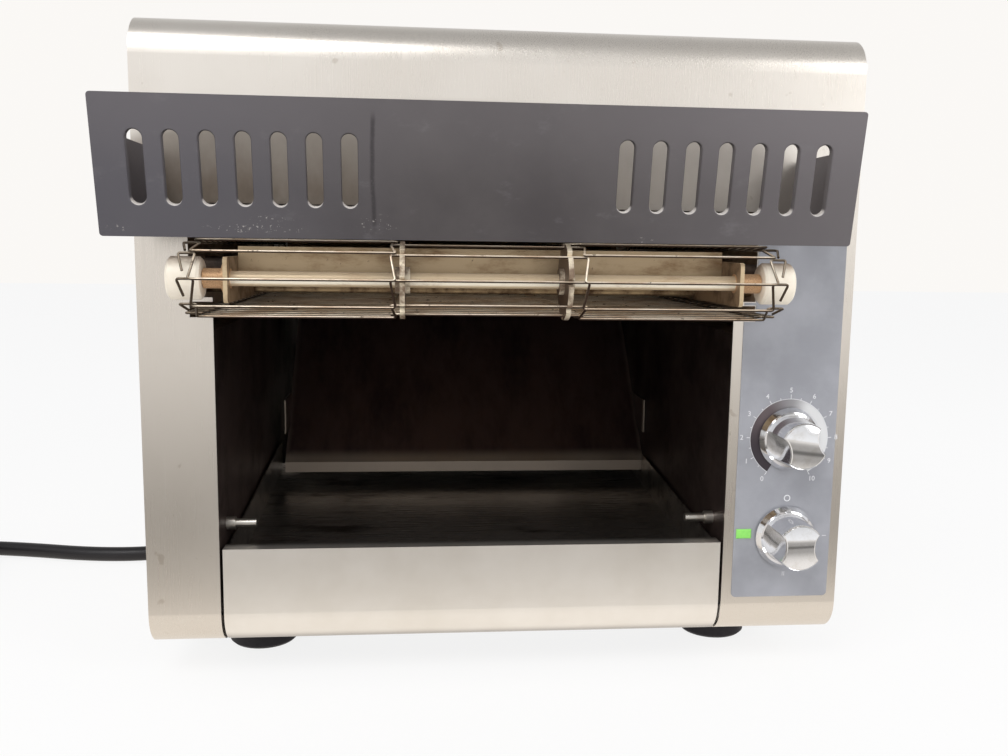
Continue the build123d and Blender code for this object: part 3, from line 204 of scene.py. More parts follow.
# ------------------------------------------------------------------ metal finishes
def brushed_casing():
    """Bright satin sheet, brushed up the face, with old drips and small stains."""
    f = Finish("casing stainless")
    x, y, z = f.xyz()
    lines = grain(f, "z")
    clouds = f.noise(9.0, detail=4.0, rough=0.55)
    spots = f.noise(95.0, detail=2.0, shift=(3.0, 1.0, 2.0)).fade(0.70, 0.76)
    drips = f.noise(150.0, (1.0, 1.0, 0.06), detail=3.0, rough=0.7).fade(0.62, 0.78)
    low = z.fade(0.02, 0.30, 1.0, 0.0)
    clean = f.mix(clouds.fade(0.3, 0.7), srgb(232, 225, 216), srgb(241, 235, 227))
    # painted shade: the face is darker and browner towards the bottom
    shaded_toward_bottom = f.mix(low * 0.4, clean, srgb(214, 203, 188))
    dripped = f.mix(drips * low * 0.35, shaded_toward_bottom, srgb(246, 241, 233))
    spotted = f.mix(spots * 0.28, dripped, srgb(158, 140, 118))
    # heat stain of the face behind the shield, with painted shade under the shield, both strongest at the
    # left
    front = y.fade(FACE_Y + 0.002, FACE_Y + 0.006, 1.0, 0.0)
    behind = f.patch(x, z, (SHIELD_MID - 0.01, 0.335), (0.235, 0.05), 0.15) * front
    blotch = f.noise(34.0, (1.0, 1.0, 0.6), detail=4.0, rough=0.65, shift=(0.0, 2.0, 5.0))
    heat = behind * x.fade(-0.20, 0.16, 0.88, 0.42) * z.fade(0.325, 0.362, 1.0, 0.72) * (0.7 + blotch * 0.5)
    stained_and_shaded = f.mix(heat, spotted, srgb(112, 96, 80))
    rough = 0.22 + lines * 0.08 + clouds * 0.05 + drips * 0.06 + heat * 0.2
    return f.skin(stained_and_shaded, rough, 0.93, f.bump(lines, 0.08, 0.0004))


def brushed_tray():
    """Tray sheet, brushed across."""
    f = Finish("tray stainless")
    y = f.xyz()[1]
    lines = grain(f, "x")
    clouds = f.noise(12.0, detail=4.0, rough=0.6)
    smear = f.noise(40.0, (0.3, 1.0, 1.0), detail=5.0, rough=0.65, shift=(5.0, 0.0, 0.0)).fade(0.52, 0.72)
    inside = y.fade(FACE_Y + 0.004, FACE_Y + 0.012)
    clean = f.mix(clouds.fade(0.3, 0.7), srgb(240, 234, 225), srgb(250, 245, 238))
    # darker inside the body: crumbs and soot, and painted shade under the chamber
    used_and_shaded = f.mix(inside * (0.62 + smear * 0.38), clean, srgb(84, 73, 68))
    rough = 0.26 + lines * 0.10 + clouds * 0.05 - inside * 0.06
    return f.skin(used_and_shaded, rough, 0.93, f.bump(lines, 0.10, 0.0004))


def browned_lining():
    """Inside sheet, darkened by heat and crumbs and painted darker for the shade inside the chamber; above
    the step it is baked paler brown.
    """
    f = Finish("lining stainless")
    z = f.xyz()[2]
    lines = grain(f, "z", 1500.0)
    burnt = f.noise(14.0, detail=6.0, rough=0.65).fade(0.35, 0.75)
    scratch = f.noise(420.0, (1.0, 0.02, 0.02), detail=2.0, rough=0.8).fade(0.66, 0.74)
    # the dark browns are burnt stains and also painted shade of the unlit chamber
    base = f.mix(burnt, srgb(84, 70, 66), srgb(38, 29, 28))
    scratched = f.mix(scratch * 0.3, base, srgb(112, 98, 90))
    hot = z.fade(STEP_Z, STEP_Z + 0.004)
    baked = f.mix(hot, scratched, f.mix(burnt, srgb(186, 156, 128), srgb(112, 86, 66)))
    rough = 0.36 + burnt * 0.22 + lines * 0.08
    return f.skin(baked, rough, 0.7 - hot * 0.5, f.bump(lines, 0.08, 0.0004))


def chute_sheet():
    """The slide: browned all over and painted darker for the shade inside, with a painted highlight along
    its front lip, straw coloured at its head.
    """
    f = Finish("chute stainless")
    x, y, z = f.xyz()
    lines = grain(f, "z", 1500.0)
    burnt = f.noise(22.0, (1.0, 0.4, 0.4), detail=6.0, rough=0.65).fade(0.35, 0.75)
    lip_highlight = y.fade(CHUTE_LOW.y + 0.002, CHUTE_LOW.y + 0.010, 1.0, 0.0)
    edge = x.fade(CHUTE_LOW.x, CHUTE_LOW.x + 0.005, 1.0, 0.0).most(
        x.fade(CHUTE_HIGH.x - 0.005, CHUTE_HIGH.x))
    head = z.fade(0.274, 0.292)
    # the dark browns are burnt stains and also painted shade inside the chamber
    base = f.mix(burnt, srgb(108, 88, 84), srgb(62, 47, 46))
    # the front lip gets a painted highlight; the side edges are rubbed lighter
    rubbed = f.mix((lip_highlight * 0.85).most(edge * 0.25), base, srgb(186, 174, 160))
    straw = f.mix(head * 0.9, rubbed, srgb(206, 180, 140))
    return f.skin(straw, 0.36 + burnt * 0.2, 0.75, f.bump(lines, 0.08, 0.0004))


def tan_reflector():
    """Reflector sheet, straw coloured by heat, with dark burnt runs."""
    f = Finish("reflector sheet")
    lines = grain(f, "x", 1800.0)
    stain = f.noise(30.0, (0.6, 1.0, 1.6), detail=6.0, rough=0.7).fade(0.45, 0.75)
    dots = f.noise(240.0, detail=3.0, rough=0.7, shift=(2.0, 0.0, 1.0)).fade(0.64, 0.74)
    base = f.mix(stain, srgb(196, 174, 142), srgb(142, 110, 76))
    spotted = f.mix(dots * 0.7, base, srgb(70, 48, 34))
    return f.skin(spotted, 0.38 + stain * 0.2, 0.75, f.bump(lines, 0.08, 0.0004))


def galvanised():
    """Zinc-coated sheet with its spangle."""
    f = Finish("galvanised sheet")
    spangle = f.node("ShaderNodeTexVoronoi", {"feature": "F1"}, {"Vector": f.place(), "Scale": 110.0})
    tone = f.out(spangle, "Color")
    base = f.mix(0.16, srgb(178, 180, 182), tone, "SOFT_LIGHT")
    return f.skin(base, 0.42, 0.85)


def turned_steel():
    f = Finish("turned steel")
    rings = grain(f, "y", 2200.0)
    tarnish = f.noise(60.0, detail=4.0).fade(0.45, 0.75)
    base = f.mix(tarnish * 0.6, srgb(204, 200, 192), srgb(146, 128, 108))
    return f.skin(base, 0.28 + rings * 0.12, 0.95, f.bump(rings, 0.06, 0.0003))


def browned_wire():
    """Belt wire: tan, with a painted highlight on top and painted shade below and on the end hooks, with
    crumbs baked on.
    """
    f = Finish("belt wire")
    x = f.xyz()[0]
    patches = f.noise(45.0, detail=4.0, rough=0.6).fade(0.35, 0.7)
    crust = f.noise(180.0, detail=4.0, rough=0.75, shift=(1.0, 4.0, 2.0)).fade(0.58, 0.72)
    lit = f.mix(patches, srgb(255, 242, 220), srgb(222, 196, 166))
    # painted highlight on the tops of the wires, painted shade on their undersides
    base = f.mix(f.facing()[2].fade(-0.20, 0.60), srgb(68, 51, 40), lit)
    # painted shade on the end hooks
    hooks = abs(x - BELT_X).fade(0.1660, 0.1735)
    painted_shade = f.mix(hooks * 0.8, base, srgb(82, 70, 56))
    burnt = f.mix(crust * 0.8, painted_shade, srgb(58, 40, 28))
    return f.skin(burnt, 0.34 + crust * 0.3, 0.55, f.bump(crust, 0.3, 0.0003))


def browned_steel():
    """Sprockets, collars and bars near the heat."""
    f = Finish("browned steel")
    patches = f.noise(70.0, detail=5.0, rough=0.65).fade(0.35, 0.7)
    base = f.mix(patches, srgb(176, 152, 118), srgb(84, 62, 44))
    return f.skin(base, 0.36 + patches * 0.25, 0.85, f.bump(patches, 0.15, 0.0003))


def nose_shaft():
    """Polished front shaft, with a painted cream reflection of the counter where it faces down."""
    f = Finish("front shaft")
    up = f.facing()[2]
    marks = f.noise(34.0, (1.0, 2.0, 2.0), detail=5.0, rough=0.7).fade(0.50, 0.72)
    # painted reflection of the counter where the shaft faces down
    low = up.fade(-0.80, -0.45) * up.fade(-0.10, 0.15, 1.0, 0.0)
    base = f.mix(low, srgb(206, 184, 152), srgb(255, 246, 226))
    tarnished = f.mix(marks * 0.35, base, srgb(150, 112, 78))
    return f.skin(tarnished, 0.34 + marks * 0.2, 0.25)


def rail_sheet():
    """Side rails: painted shade darkens their flat sides and a painted highlight lightens their ends and
    edges, over brown stains.
    """
    f = Finish("rail sheet")
    # painted shade on the flat sides, painted highlight on ends and edges
    flat = abs(f.facing()[0]).fade(0.4, 0.8)
    stain = f.noise(48.0, detail=5.0, rough=0.7).fade(0.38, 0.7)
    sides = f.mix(stain, srgb(150, 124, 96), srgb(84, 64, 48))
    edges = f.mix(stain * 0.6, srgb(212, 190, 154), srgb(150, 120, 90))
    return f.skin(f.mix(flat, edges, sides), 0.42 + stain * 0.2, 0.35, f.bump(stain, 0.1, 0.0003))


def sprocket_steel():
    """Belt sprockets: painted shade on their sides and a painted cream highlight round their rims, over
    brown stains.
    """
    f = Finish("sprocket steel")
    # painted shade on the sides, painted highlight on the rims
    flat = abs(f.facing()[0]).fade(0.4, 0.8)
    stain = f.noise(70.0, detail=5.0, rough=0.65).fade(0.34, 0.58)
    rim = f.mix(stain * 0.9, srgb(236, 222, 196), srgb(104, 78, 58))
    return f.skin(f.mix(flat, rim, srgb(84, 64, 50)), 0.4, 0.3, f.bump(stain, 0.12, 0.0003))


def sintered_bronze():
    f = Finish("sintered bronze")
    pores = f.noise(1600.0, detail=2.0)
    base = f.mix(pores.fade(0.3, 0.8), srgb(214, 176, 136), srgb(182, 142, 106))
    return f.skin(base, 0.5, 0.55, f.bump(pores, 0.08, 0.0002))


def plated_brass():
    f = Finish("plated brass")
    wear = f.noise(220.0, (1.0, 0.2, 1.0), detail=3.0)
    return f.skin(f.mix(wear, srgb(214, 186, 120), srgb(178, 148, 88)), 0.25 + wear * 0.15, 0.95)


def element_sheath():
    f = Finish("heating element")
    bloom = f.noise(60.0, detail=5.0, rough=0.7)
    base = f.mix(bloom.fade(0.35, 0.7), srgb(70, 62, 58), srgb(120, 104, 92))
    return f.skin(base, 0.62, 0.35, f.bump(bloom, 0.15, 0.0004))


# ------------------------------------------------------------------ other finishes
SCRAPE_X = -0.0832        # the long scrape down the shield
SCUFFS = (                # middle and half size, across and up, of each scuff
    ((-0.081, 0.3065), (0.010, 0.0050)), ((-0.140, 0.3090), (0.012, 0.0016)),
    ((-0.150, 0.3035), (0.026, 0.0024)), ((0.081, 0.3000), (0.013, 0.0016)),
    ((-0.226, 0.3030), (0.006, 0.002)))


def shield_paint():
    """Dark grey textured coat with rubs, a long dark scrape and pale scuffs."""
    f = Finish("shield paint")
    x, _, z = f.xyz()
    fine = f.noise(1900.0, detail=2.0)
    clouds = f.noise(14.0, detail=5.0, rough=0.6)
    speck = f.noise(520.0, detail=3.0, rough=0.7, shift=(4.0, 0.0, 1.0))
    rub = f.noise(60.0, (0.5, 1.0, 1.0), detail=5.0, rough=0.7, shift=(0.0, 0.0, 7.0)).fade(0.56, 0.74)
    # painted light: cooler and paler at the left, paler to the right and at the top
    left, right = (x - SHIELD_MID).fade(-0.20, -0.02, 1.0, 0.0), (x - SHIELD_MID).fade(0.02, 0.22)
    base = f.mix(clouds.fade(0.3, 0.7), srgb(68, 63, 64), srgb(80, 75, 75))
    cooler = f.mix(left * 0.7, base, srgb(88, 86, 93))
    paler = f.mix(right * 0.6 + z.fade(0.32, 0.375) * 0.4, cooler, srgb(112, 107, 109))
    rubbed = f.mix(rub * 0.35, paler, srgb(118, 114, 116))
    wander = (clouds - 0.5) * 0.006
    scrape = abs(x - SCRAPE_X + wander).fade(0.0004, 0.0019, 1.0, 0.0) * z.fade(
        0.300, 0.312) * z.fade(0.362, 0.370, 1.0, 0.0)
    scraped = f.mix(scrape * speck.fade(0.15, 0.5) * 0.7, rubbed, srgb(40, 35, 38))
    scuffs = f.patch(x, z, *SCUFFS[0], 0.8)
    for at, size in SCUFFS[1:]:
        scuffs = scuffs.most(f.patch(x, z, at, size, 0.8))
    worn = f.mix(scuffs * speck.fade(0.60, 0.68) * 0.75, scraped, srgb(190, 184, 178))
    # slot mouths: painted highlight on the walls that face up, painted shade on those that face down
    up = f.facing()[2]
    in_slots = z.fade(SHIELD_LOW.z + 0.008, SHIELD_LOW.z + 0.010) * z.fade(
        SHIELD_HIGH.z - 0.010, SHIELD_HIGH.z - 0.008, 1.0, 0.0)
    bright = f.mix(up.fade(0.15, 0.6) * in_slots * 0.9, worn, srgb(214, 208, 202))
    painted_shade = f.mix(up.fade(-0.75, -0.45, 1.0, 0.0) * in_slots * 0.8, bright, srgb(34, 29, 30))
    return f.skin(painted_shade, 0.44 + fine * 0.1 + rub * 0.08, 0.0, f.bump(fine, 0.12, 0.0003), ior=1.5)


def printed_film():
    """Blue-grey printed film, satin, with clouds of dust."""
    f = Finish("control film")
    fine = f.noise(1500.0, detail=2.0)
    dust = f.noise(26.0, detail=5.0, rough=0.6)
    base = f.mix(dust.fade(0.35, 0.7), srgb(154, 155, 161), srgb(168, 169, 175))
    return f.skin(base, 0.40 + fine * 0.08, 0.0, f.bump(fine, 0.08, 0.0002), ior=1.5)


def white_print():
    f = Finish("white print")
    wear = f.noise(700.0, detail=3.0).fade(0.62, 0.8)
    return f.skin(f.mix(wear * 0.4, srgb(232, 232, 234), srgb(160, 162, 168)), 0.5)


def chrome(knob, turn):
    """Bright plated plastic with faint finger marks; the front of the grip is gently domed."""
    low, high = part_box(knob)

    def make():
        f = Finish("chrome of the " + knob)
        x, y, z = f.xyz()
        marks = f.noise(130.0, detail=4.0, rough=0.6)
        base = f.mix(marks.fade(0.4, 0.8), srgb(240, 240, 242), srgb(226, 224, 222))
        across, up = x - (low.x + high.x) / 2, z - (low.z + high.z) / 2
        along = up * math.cos(turn) + across * math.sin(turn)
        side = across * math.cos(turn) - up * math.sin(turn)
        front = y.fade(low.y + 0.0004, low.y + 0.0012, 1.0, 0.0)
        dome = (along * along * -13.0 + side * side * -4.0) * front
        return f.skin(base, 0.06 + marks * 0.08, 1.0, f.bump(dome, 1.0, 1.0))
    return make


def dial_band():
    """Printed band of the dial, from dark at nought to white at ten."""
    f = Finish("dial band print")
    x, _, z = f.xyz()
    angle = (x - DIAL_AT[0]).step("ARCTAN2", z - DIAL_AT[1])
    first = f.mix(angle.fade(-1.9, -0.7), srgb(62, 54, 60), srgb(98, 86, 88))
    second = f.mix(angle.fade(-0.7, 0.1), first, srgb(150, 148, 150))
    last = f.mix(angle.fade(0.0, 0.6), second, srgb(226, 226, 226))
    return f.skin(last, 0.45)


def green_lens():
    f = Finish("green lens")
    glow = f.noise(300.0, detail=2.0)
    base = f.mix(glow, srgb(120, 205, 90), srgb(160, 225, 120))
    return f.skin(base, 0.2, 0.0, emit=srgb(120, 215, 80), emit_strength=0.22, coat=0.6)


def moulded(name, dark, pale, rough=0.45, fine=900.0, bump=0.10):
    """Moulded plastic or rubber with a fine surface grain."""
    def make():
        f = Finish(name)
        pores = f.noise(fine, detail=3.0)
        dust = f.noise(25.0, detail=5.0, rough=0.6).fade(0.45, 0.8)
        base = f.mix(dust * 0.5, srgb(*dark), srgb(*pale))
        return f.skin(base, rough + pores * 0.1 + dust * 0.08, 0.0, f.bump(pores, bump, 0.0003))
    return make


def roller_plastic():
    """Cream plastic, browned at its top edge by the heat."""
    f = Finish("roller plastic")
    z = f.xyz()[2]
    pores = f.noise(300.0, detail=3.0)
    brown = f.noise(60.0, detail=5.0, rough=0.65) * 0.012 + z
    warm = f.mix(pores, srgb(254, 245, 228), srgb(246, 234, 214))
    baked = f.mix(brown.fade(SHAFT_Z + 0.012, SHAFT_Z + 0.020) * 0.7, warm, srgb(142, 106, 78))
    return f.skin(baked, 0.42, 0.0, f.bump(pores, 0.08, 0.0003))


def circuit_board():
    f = Finish("circuit board")
    tracks = f.node("ShaderNodeTexBrick", {"offset": 0.5},
                    {"Vector": f.place(), "Scale": 160.0, "Mortar Size": 0.03})
    mask = f.out(tracks, "Fac")
    return f.skin(f.mix(mask, srgb(26, 84, 44), srgb(60, 130, 74)), 0.35)


def mineral_wool():
    f = Finish("mineral wool")
    fibre = f.noise(260.0, (1.0, 1.0, 0.3), detail=6.0, rough=0.8)
    return f.skin(f.mix(fibre, srgb(226, 214, 178), srgb(190, 174, 130)), 0.95, 0.0,
                  f.bump(fibre, 0.6, 0.002), sheen=0.2)


MAKERS = {
    "casing": brushed_casing, "tray": brushed_tray, "lining": browned_lining,
    "chute": chute_sheet, "reflector": tan_reflector, "galvanised": galvanised, "steel": turned_steel,
    "wire": browned_wire, "browned": browned_steel, "bronze": sintered_bronze,
    "brass": plated_brass, "element": element_sheath, "shield": shield_paint,
    "shaft": nose_shaft, "rail": rail_sheet, "sprocket": sprocket_steel,
    "film": printed_film, "print": white_print, "lens": green_lens,
    "speed chrome": chrome("speed_knob", math.radians(14.0)),
    "selector chrome": chrome("selector_knob", 0.0),
    "band": dial_band, "board": circuit_board, "wool": mineral_wool,
    "rubber": moulded("foot rubber", (30, 27, 34), (62, 58, 64), 0.6, 500.0, 0.2),
    "black": moulded("black moulding", (30, 30, 32), (52, 50, 52), 0.4),
    "white": roller_plastic,
    "ceramic": moulded("ceramic", (224, 214, 192), (190, 170, 140), 0.55, 300.0),
    "cord": moulded("cord sheath", (24, 21, 24), (44, 40, 43), 0.38, 700.0, 0.12),
    "motor": moulded("motor paint", (44, 46, 50), (74, 74, 76), 0.42, 400.0),
}
FINISHES = {}


def finish(name):
    if name not in FINISHES:
        FINISHES[name] = MAKERS[name]()
    return FINISHES[name]


COATS = {
    "casing": "outer_wrap left_side_panel right_side_panel back_panel",
    "tray": "product_tray",
    "lining": "left_lining right_lining chamber_roof",
    "chute": "return_chute",
    "reflector": "lower_reflector upper_reflector",
    "rail": "left_rail right_rail",
    "shaft": "idler_shaft",
    "sprocket": "idler_sprockets",
    "galvanised": "base_pan tray_runners motor_plate",
    "steel": "casing_screws tray_pins speed_spindle selector_spindle motor_shaft motor_chain_wheel "
             "drive_chain_wheel drive_chain",
    "wire": "conveyor_belt",
    "browned": "drive_sprockets drive_collars cross_bars drive_shaft",
    "bronze": "idler_bushes drive_bushes wall_bearing",
    "element": "lower_heaters upper_heaters",
    "ceramic": "heater_caps",
    "shield": "heat_shield shield_brackets",
    "film": "control_overlay",
    "speed chrome": "speed_knob",
    "selector chrome": "selector_knob",
    "lens": "lamp_lens",
    "board": "speed_board",
    "wool": "insulation",
    "rubber": "rubber_feet",
    "white": "idler_rollers",
    "cord": "power_cord cord_coil strain_relief",
    "black": "potentiometer rotary_switch lamp_body terminal_block fan_frame fan_impeller cord_plug",
    "brass": "plug_blades",
    "motor": "gearmotor",
}


def coat_nodes():
    for name, nodes in COATS.items():
        for node in nodes.split():
            mesh = NODES[node].data
            mesh.materials.clear()
            mesh.materials.append(finish(name))
            mesh.shade_smooth()
            mesh.set_sharp_from_angle(angle=math.radians(32))


# ------------------------------------------------------------------ camera and light
CAMERA_AT = Vector((-0.05972, FACE_Y - 0.6316, 0.29584))
PAN, TILT, ROLL = math.radians(5.31), math.radians(7.8), math.radians(0.79)
FOCAL_PX, WIDTH_PX, SENSOR = 968.23, 1008.0, 36.0


def make_camera():
    ahead = Vector((math.sin(PAN) * math.cos(TILT), math.cos(PAN) * math.cos(TILT), -math.sin(TILT)))
    right = Vector((math.cos(PAN), -math.sin(PAN), 0.0))
    up = right.cross(ahead)
    right, up = (right * math.cos(ROLL) + up * math.sin(ROLL),
                 up * math.cos(ROLL) - right * math.sin(ROLL))
    data = bpy.data.cameras.new("studio camera")
    data.sensor_width = SENSOR
    data.lens = FOCAL_PX * SENSOR / WIDTH_PX
    data.clip_start, data.clip_end = 0.02, 40.0
    camera = bpy.data.objects.new("studio camera", data)
    turn = Matrix((right, up, -ahead)).transposed().to_4x4()
    camera.matrix_world = Matrix.Translation(CAMERA_AT) @ turn
    bpy.context.scene.collection.objects.link(camera)
    bpy.context.scene.camera = camera


def new_object(name, data, body=None, coat=None):
    piece = bpy.data.objects.new(name, data)
    bpy.context.scene.collection.objects.link(piece)
    if coat:
        data.materials.append(finish(coat))
    if body:
        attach(piece, body)
    return piece


# ------------------------------------------------------------------ supply cord
FACE_SHIFT = FACE_Y / MM                  # the source of the part counts from the face
CORD_R = 6.5
GLAND_X, GLAND_Z, GLAND_END = -211.0, 62.0, 467.0
COIL_X, COIL_Y, COIL_R, COIL_TURNS, COIL_RISE = -521.0, 229.0, 66.0, 2.25, 13.2
COIL_TOP = 2 * CORD_R + COIL_TURNS * COIL_RISE
COIL_STEPS = 16                           # points in each turn
PLUG_HALF = 13.0

CORD_FEED = [
    (GLAND_X, GLAND_END, GLAND_Z), (GLAND_X, GLAND_END + 61, GLAND_Z),
    (GLAND_X - 33, GLAND_END + 121, GLAND_Z - 20), (GLAND_X - 95, GLAND_END + 137, GLAND_Z - 42),
    (-352.0, 560.0, CORD_R), (-346.0, 496.0, CORD_R), (-303.0, 448.0, CORD_R),
    (-263.0, 398.0, CORD_R), (-243.0, 340.0, CORD_R), (-257.0, 296.0, CORD_R),
    (-294.0, 268.0, CORD_R), (-352.0, 266.0, CORD_R), (-425.0, 286.0, CORD_R),
    (-478.0, COIL_Y + COIL_R - 0.5, CORD_R),
]
CORD_TAIL = [
    (COIL_X - COIL_R, COIL_Y - 36, COIL_TOP - CORD_R - 2),
    (COIL_X - COIL_R + 3, COIL_Y - 74, COIL_TOP - CORD_R - 14),
    (COIL_X - COIL_R, COIL_Y - 110, PLUG_HALF),
    (COIL_X - COIL_R - 3, COIL_Y - 142, PLUG_HALF),
]


def coil_points():
    """The wound turns, climbing by a cord's thickness each turn."""
    grow = 1.0 / math.cos(math.pi / COIL_STEPS)
    points = []
    for i in range(int(COIL_TURNS * COIL_STEPS) + 1):
        share = i / COIL_STEPS
        angle = math.radians(90.0) + share * 2 * math.pi
        points.append((COIL_X + COIL_R * grow * math.cos(angle), COIL_Y + COIL_R * grow * math.sin(angle),
                       CORD_R + share * COIL_RISE))
    return points


def make_cord():
    points = CORD_FEED + coil_points() + CORD_TAIL
    curve = bpy.data.curves.new("supply_lead", "CURVE")
    curve.dimensions = "3D"
    line = curve.splines.new("NURBS")
    line.points.add(len(points) - 1)
    for point, (x, y, z) in zip(line.points, points):
        point.co = (x * MM, (y + FACE_SHIFT) * MM, z * MM, 1.0)
    line.order_u = 3
    line.use_endpoint_u = True
    line.resolution_u = 8
    curve.bevel_depth = CORD_R * MM
    curve.bevel_resolution = 6
    curve.use_fill_caps = True
    lead = new_object("supply_lead", curve, "casing", "cord")
    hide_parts("power_cord", "cord_coil")
    return lead


# ------------------------------------------------------------------ belt
def loop_sides(pitch, teeth, straight):
    """Start and heading, in the (y, z) plane about the front shaft, of each strand."""
    radius = pitch / (2 * math.sin(math.pi / teeth))
    turn = 360.0 / teeth
    y, z, heading = 0.0, radius, 0.0
    sides = []
    for count in (straight, teeth // 2, straight, teeth // 2):
        around = count == teeth // 2
        for _ in range(count):
            if around:
                heading -= turn / 2
            sides.append((y, z, heading))
            y += pitch * math.cos(math.radians(heading))
            z += pitch * math.sin(math.radians(heading))
            if around:
                heading -= turn / 2
    return sides


def strand_points():
    """One strand: x across, y along the belt, z outward."""
    lift = (WIRE + WIRE_GAP) / 2 / math.cos(math.pi / TEETH)
    (a, b), s = LINK_U, LINK_LEAN
    half = [(0.0, PITCH, -lift), (a + s, PITCH, -lift), (a - s, 0.0, lift), (b + s, 0.0, lift),
            (b - s, PITCH, -lift), (BELT_HALF, PITCH, -lift),
            (BELT_HALF - 0.003, HOOK_BACK * PITCH, -lift)]
    return [(-x, y, z) for x, y, z in reversed(half[1:])] + half[1:]


def eased(points, radius):
    """The polyline's corners as Bezier knots, one before and one after each corner."""
    points = [Vector(p) for p in points]
    knots = [(points[0], points[0], points[0])]
    for a, p, b in zip(points, points[1:], points[2:]):
        before, after = (a - p).normalized() * radius, (b - p).normalized() * radius
        knots.append((p + before, p + before * 1.4, p + before * 0.42))
        knots.append((p + after, p + after * 0.42, p + after * 1.4))
    knots.append((points[-1], points[-1], points[-1]))
    return knots


def make_belt():
    """The wire belt, every strand bent with small rounded corners."""
    curve = bpy.data.curves.new("wire_belt", "CURVE")
    curve.dimensions = "3D"
    curve.bevel_depth = WIRE / 2
    curve.bevel_resolution = 2
    curve.resolution_u = 3
    curve.use_fill_caps = True
    knots = eased(strand_points(), 0.0016)
    for y, z, heading in loop_sides(PITCH, TEETH, STRAIGHT):
        place = Matrix.Translation((BELT_X, NOSE_Y + y, SHAFT_Z + z)) @ Matrix.Rotation(
            math.radians(heading), 4, "X")
        line = curve.splines.new("BEZIER")
        line.bezier_points.add(len(knots) - 1)
        for point, (at, left, right) in zip(line.bezier_points, knots):
            point.co, point.handle_left, point.handle_right = place @ at, place @ left, place @ right
    belt = new_object("wire_belt", curve, "casing", "wire")
    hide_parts("conveyor_belt")


# ------------------------------------------------------------------ chamber details
SCREEN_T, SCREEN_H, SCREEN_GAP = 0.6 * MM, 70.0 * MM, 0.2 * MM
SCREEN_MID = SHAFT_Z + 26.7 * MM
SCREEN_X = (              # each screen's two ends, beside the chute
    (CHUTE_LOW.x - 22.0 * MM, CHUTE_LOW.x + 4.0 * MM),
    (CHUTE_HIGH.x - 2.0 * MM, CHUTE_HIGH.x + 13.0 * MM))


def vent_screens():
    """Strips of dark screen inside the back panel, over the outer ends of its vents: dark sheets standing
    in for shade, so no bright light shows through the vents.
    """
    mesh = bpy.data.meshes.new("vent_screens")
    bm = bmesh.new()
    y = BACK_Y - SCREEN_GAP - SCREEN_T / 2
    for low, high in SCREEN_X:
        place = Matrix.Translation(((low + high) / 2, y, SCREEN_MID))
        bmesh.ops.create_cube(bm, size=1.0, matrix=place @ Matrix.Diagonal(
            (high - low, SCREEN_T, SCREEN_H, 1.0)))
    bm.to_mesh(mesh)
    bm.free()
    new_object("vent_screens", mesh, "casing", "lining")


# ------------------------------------------------------------------ dial printing
PRINT_LIFT = 0.00012
DIAL_AT = ((SPEED_LOW.x + SPEED_HIGH.x) / 2, (SPEED_LOW.z + SPEED_HIGH.z) / 2)
SELECT_AT = ((SELECT_LOW.x + SELECT_HIGH.x) / 2, (SELECT_LOW.z + SELECT_HIGH.z) / 2)
DIAL_RING, DIAL_SPAN = 0.0273, 148.0
PRINT_Y = PANEL_LOW.y - PRINT_LIFT


def printed(name, build, coat="print"):
    """Thin flat print on the control film; build fills a bmesh in (x, z) about the dial."""
    mesh = bpy.data.meshes.new(name)
    bm = bmesh.new()
    build(bm)
    bm.to_mesh(mesh)
    bm.free()
    return new_object(name, mesh, "casing", coat)


def quad(bm, corners):
    bm.faces.new([bm.verts.new((x, PRINT_Y, z)) for x, z in corners])


def arc_band(bm, centre, radius, width, start, end, steps):
    """A printed arc; angles in degrees clockwise from the top."""
    def at(r, angle):
        a = math.radians(angle)
        return centre[0] + r * math.sin(a), centre[1] + r * math.cos(a)
    for i in range(steps):
        a, b = (start + (end - start) * k / steps for k in (i, i + 1))
        quad(bm, (at(radius - width / 2, a), at(radius - width / 2, b),
                  at(radius + width / 2, b), at(radius + width / 2, a)))


def radial_tick(bm, centre, radius, length, width, angle):
    a = math.radians(angle)
    out, side = Vector((math.sin(a), math.cos(a))), Vector((math.cos(a), -math.sin(a)))
    c = Vector(centre)
    far, half = radius + length, width / 2
    quad(bm, [tuple(c + out * r + side * s) for r, s in (
        (radius, -half), (radius, half), (far, half), (far, -half))])


def dial_angle(number):
    return -DIAL_SPAN + number * 2 * DIAL_SPAN / 10


def build_dial(bm):
    arc_band(bm, DIAL_AT, DIAL_RING, 0.00045, -DIAL_SPAN, DIAL_SPAN, 72)
    for half in range(21):
        length = 0.0032 if half == 10 else 0.0026 if half % 2 == 0 else 0.0014
        radial_tick(bm, DIAL_AT, DIAL_RING, length, 0.00050, dial_angle(half / 2))


def build_dial_band(bm):
    arc_band(bm, DIAL_AT, (DIAL_RING + 0.0195) / 2, DIAL_RING - 0.0198, -DIAL_SPAN, DIAL_SPAN, 72)


def print_bar(bm, low, high):
    """An upright rectangle of print between two corners."""
    quad(bm, (low, (high[0], low[1]), high, (low[0], high[1])))


def build_selector_marks(bm):
    x, z = SELECT_AT
    thin = 0.0002                         # half the width of a printed bar
    arc_band(bm, (x, z + 0.0270), 0.0020, 0.0007, 0, 360, 28)
    print_bar(bm, (x + 0.0265, z - thin), (x + 0.0295, z + thin))
    for dx in (-0.0006, 0.0006):
        print_bar(bm, (x + dx - thin, z - 0.0285), (x + dx + thin, z - 0.0255))


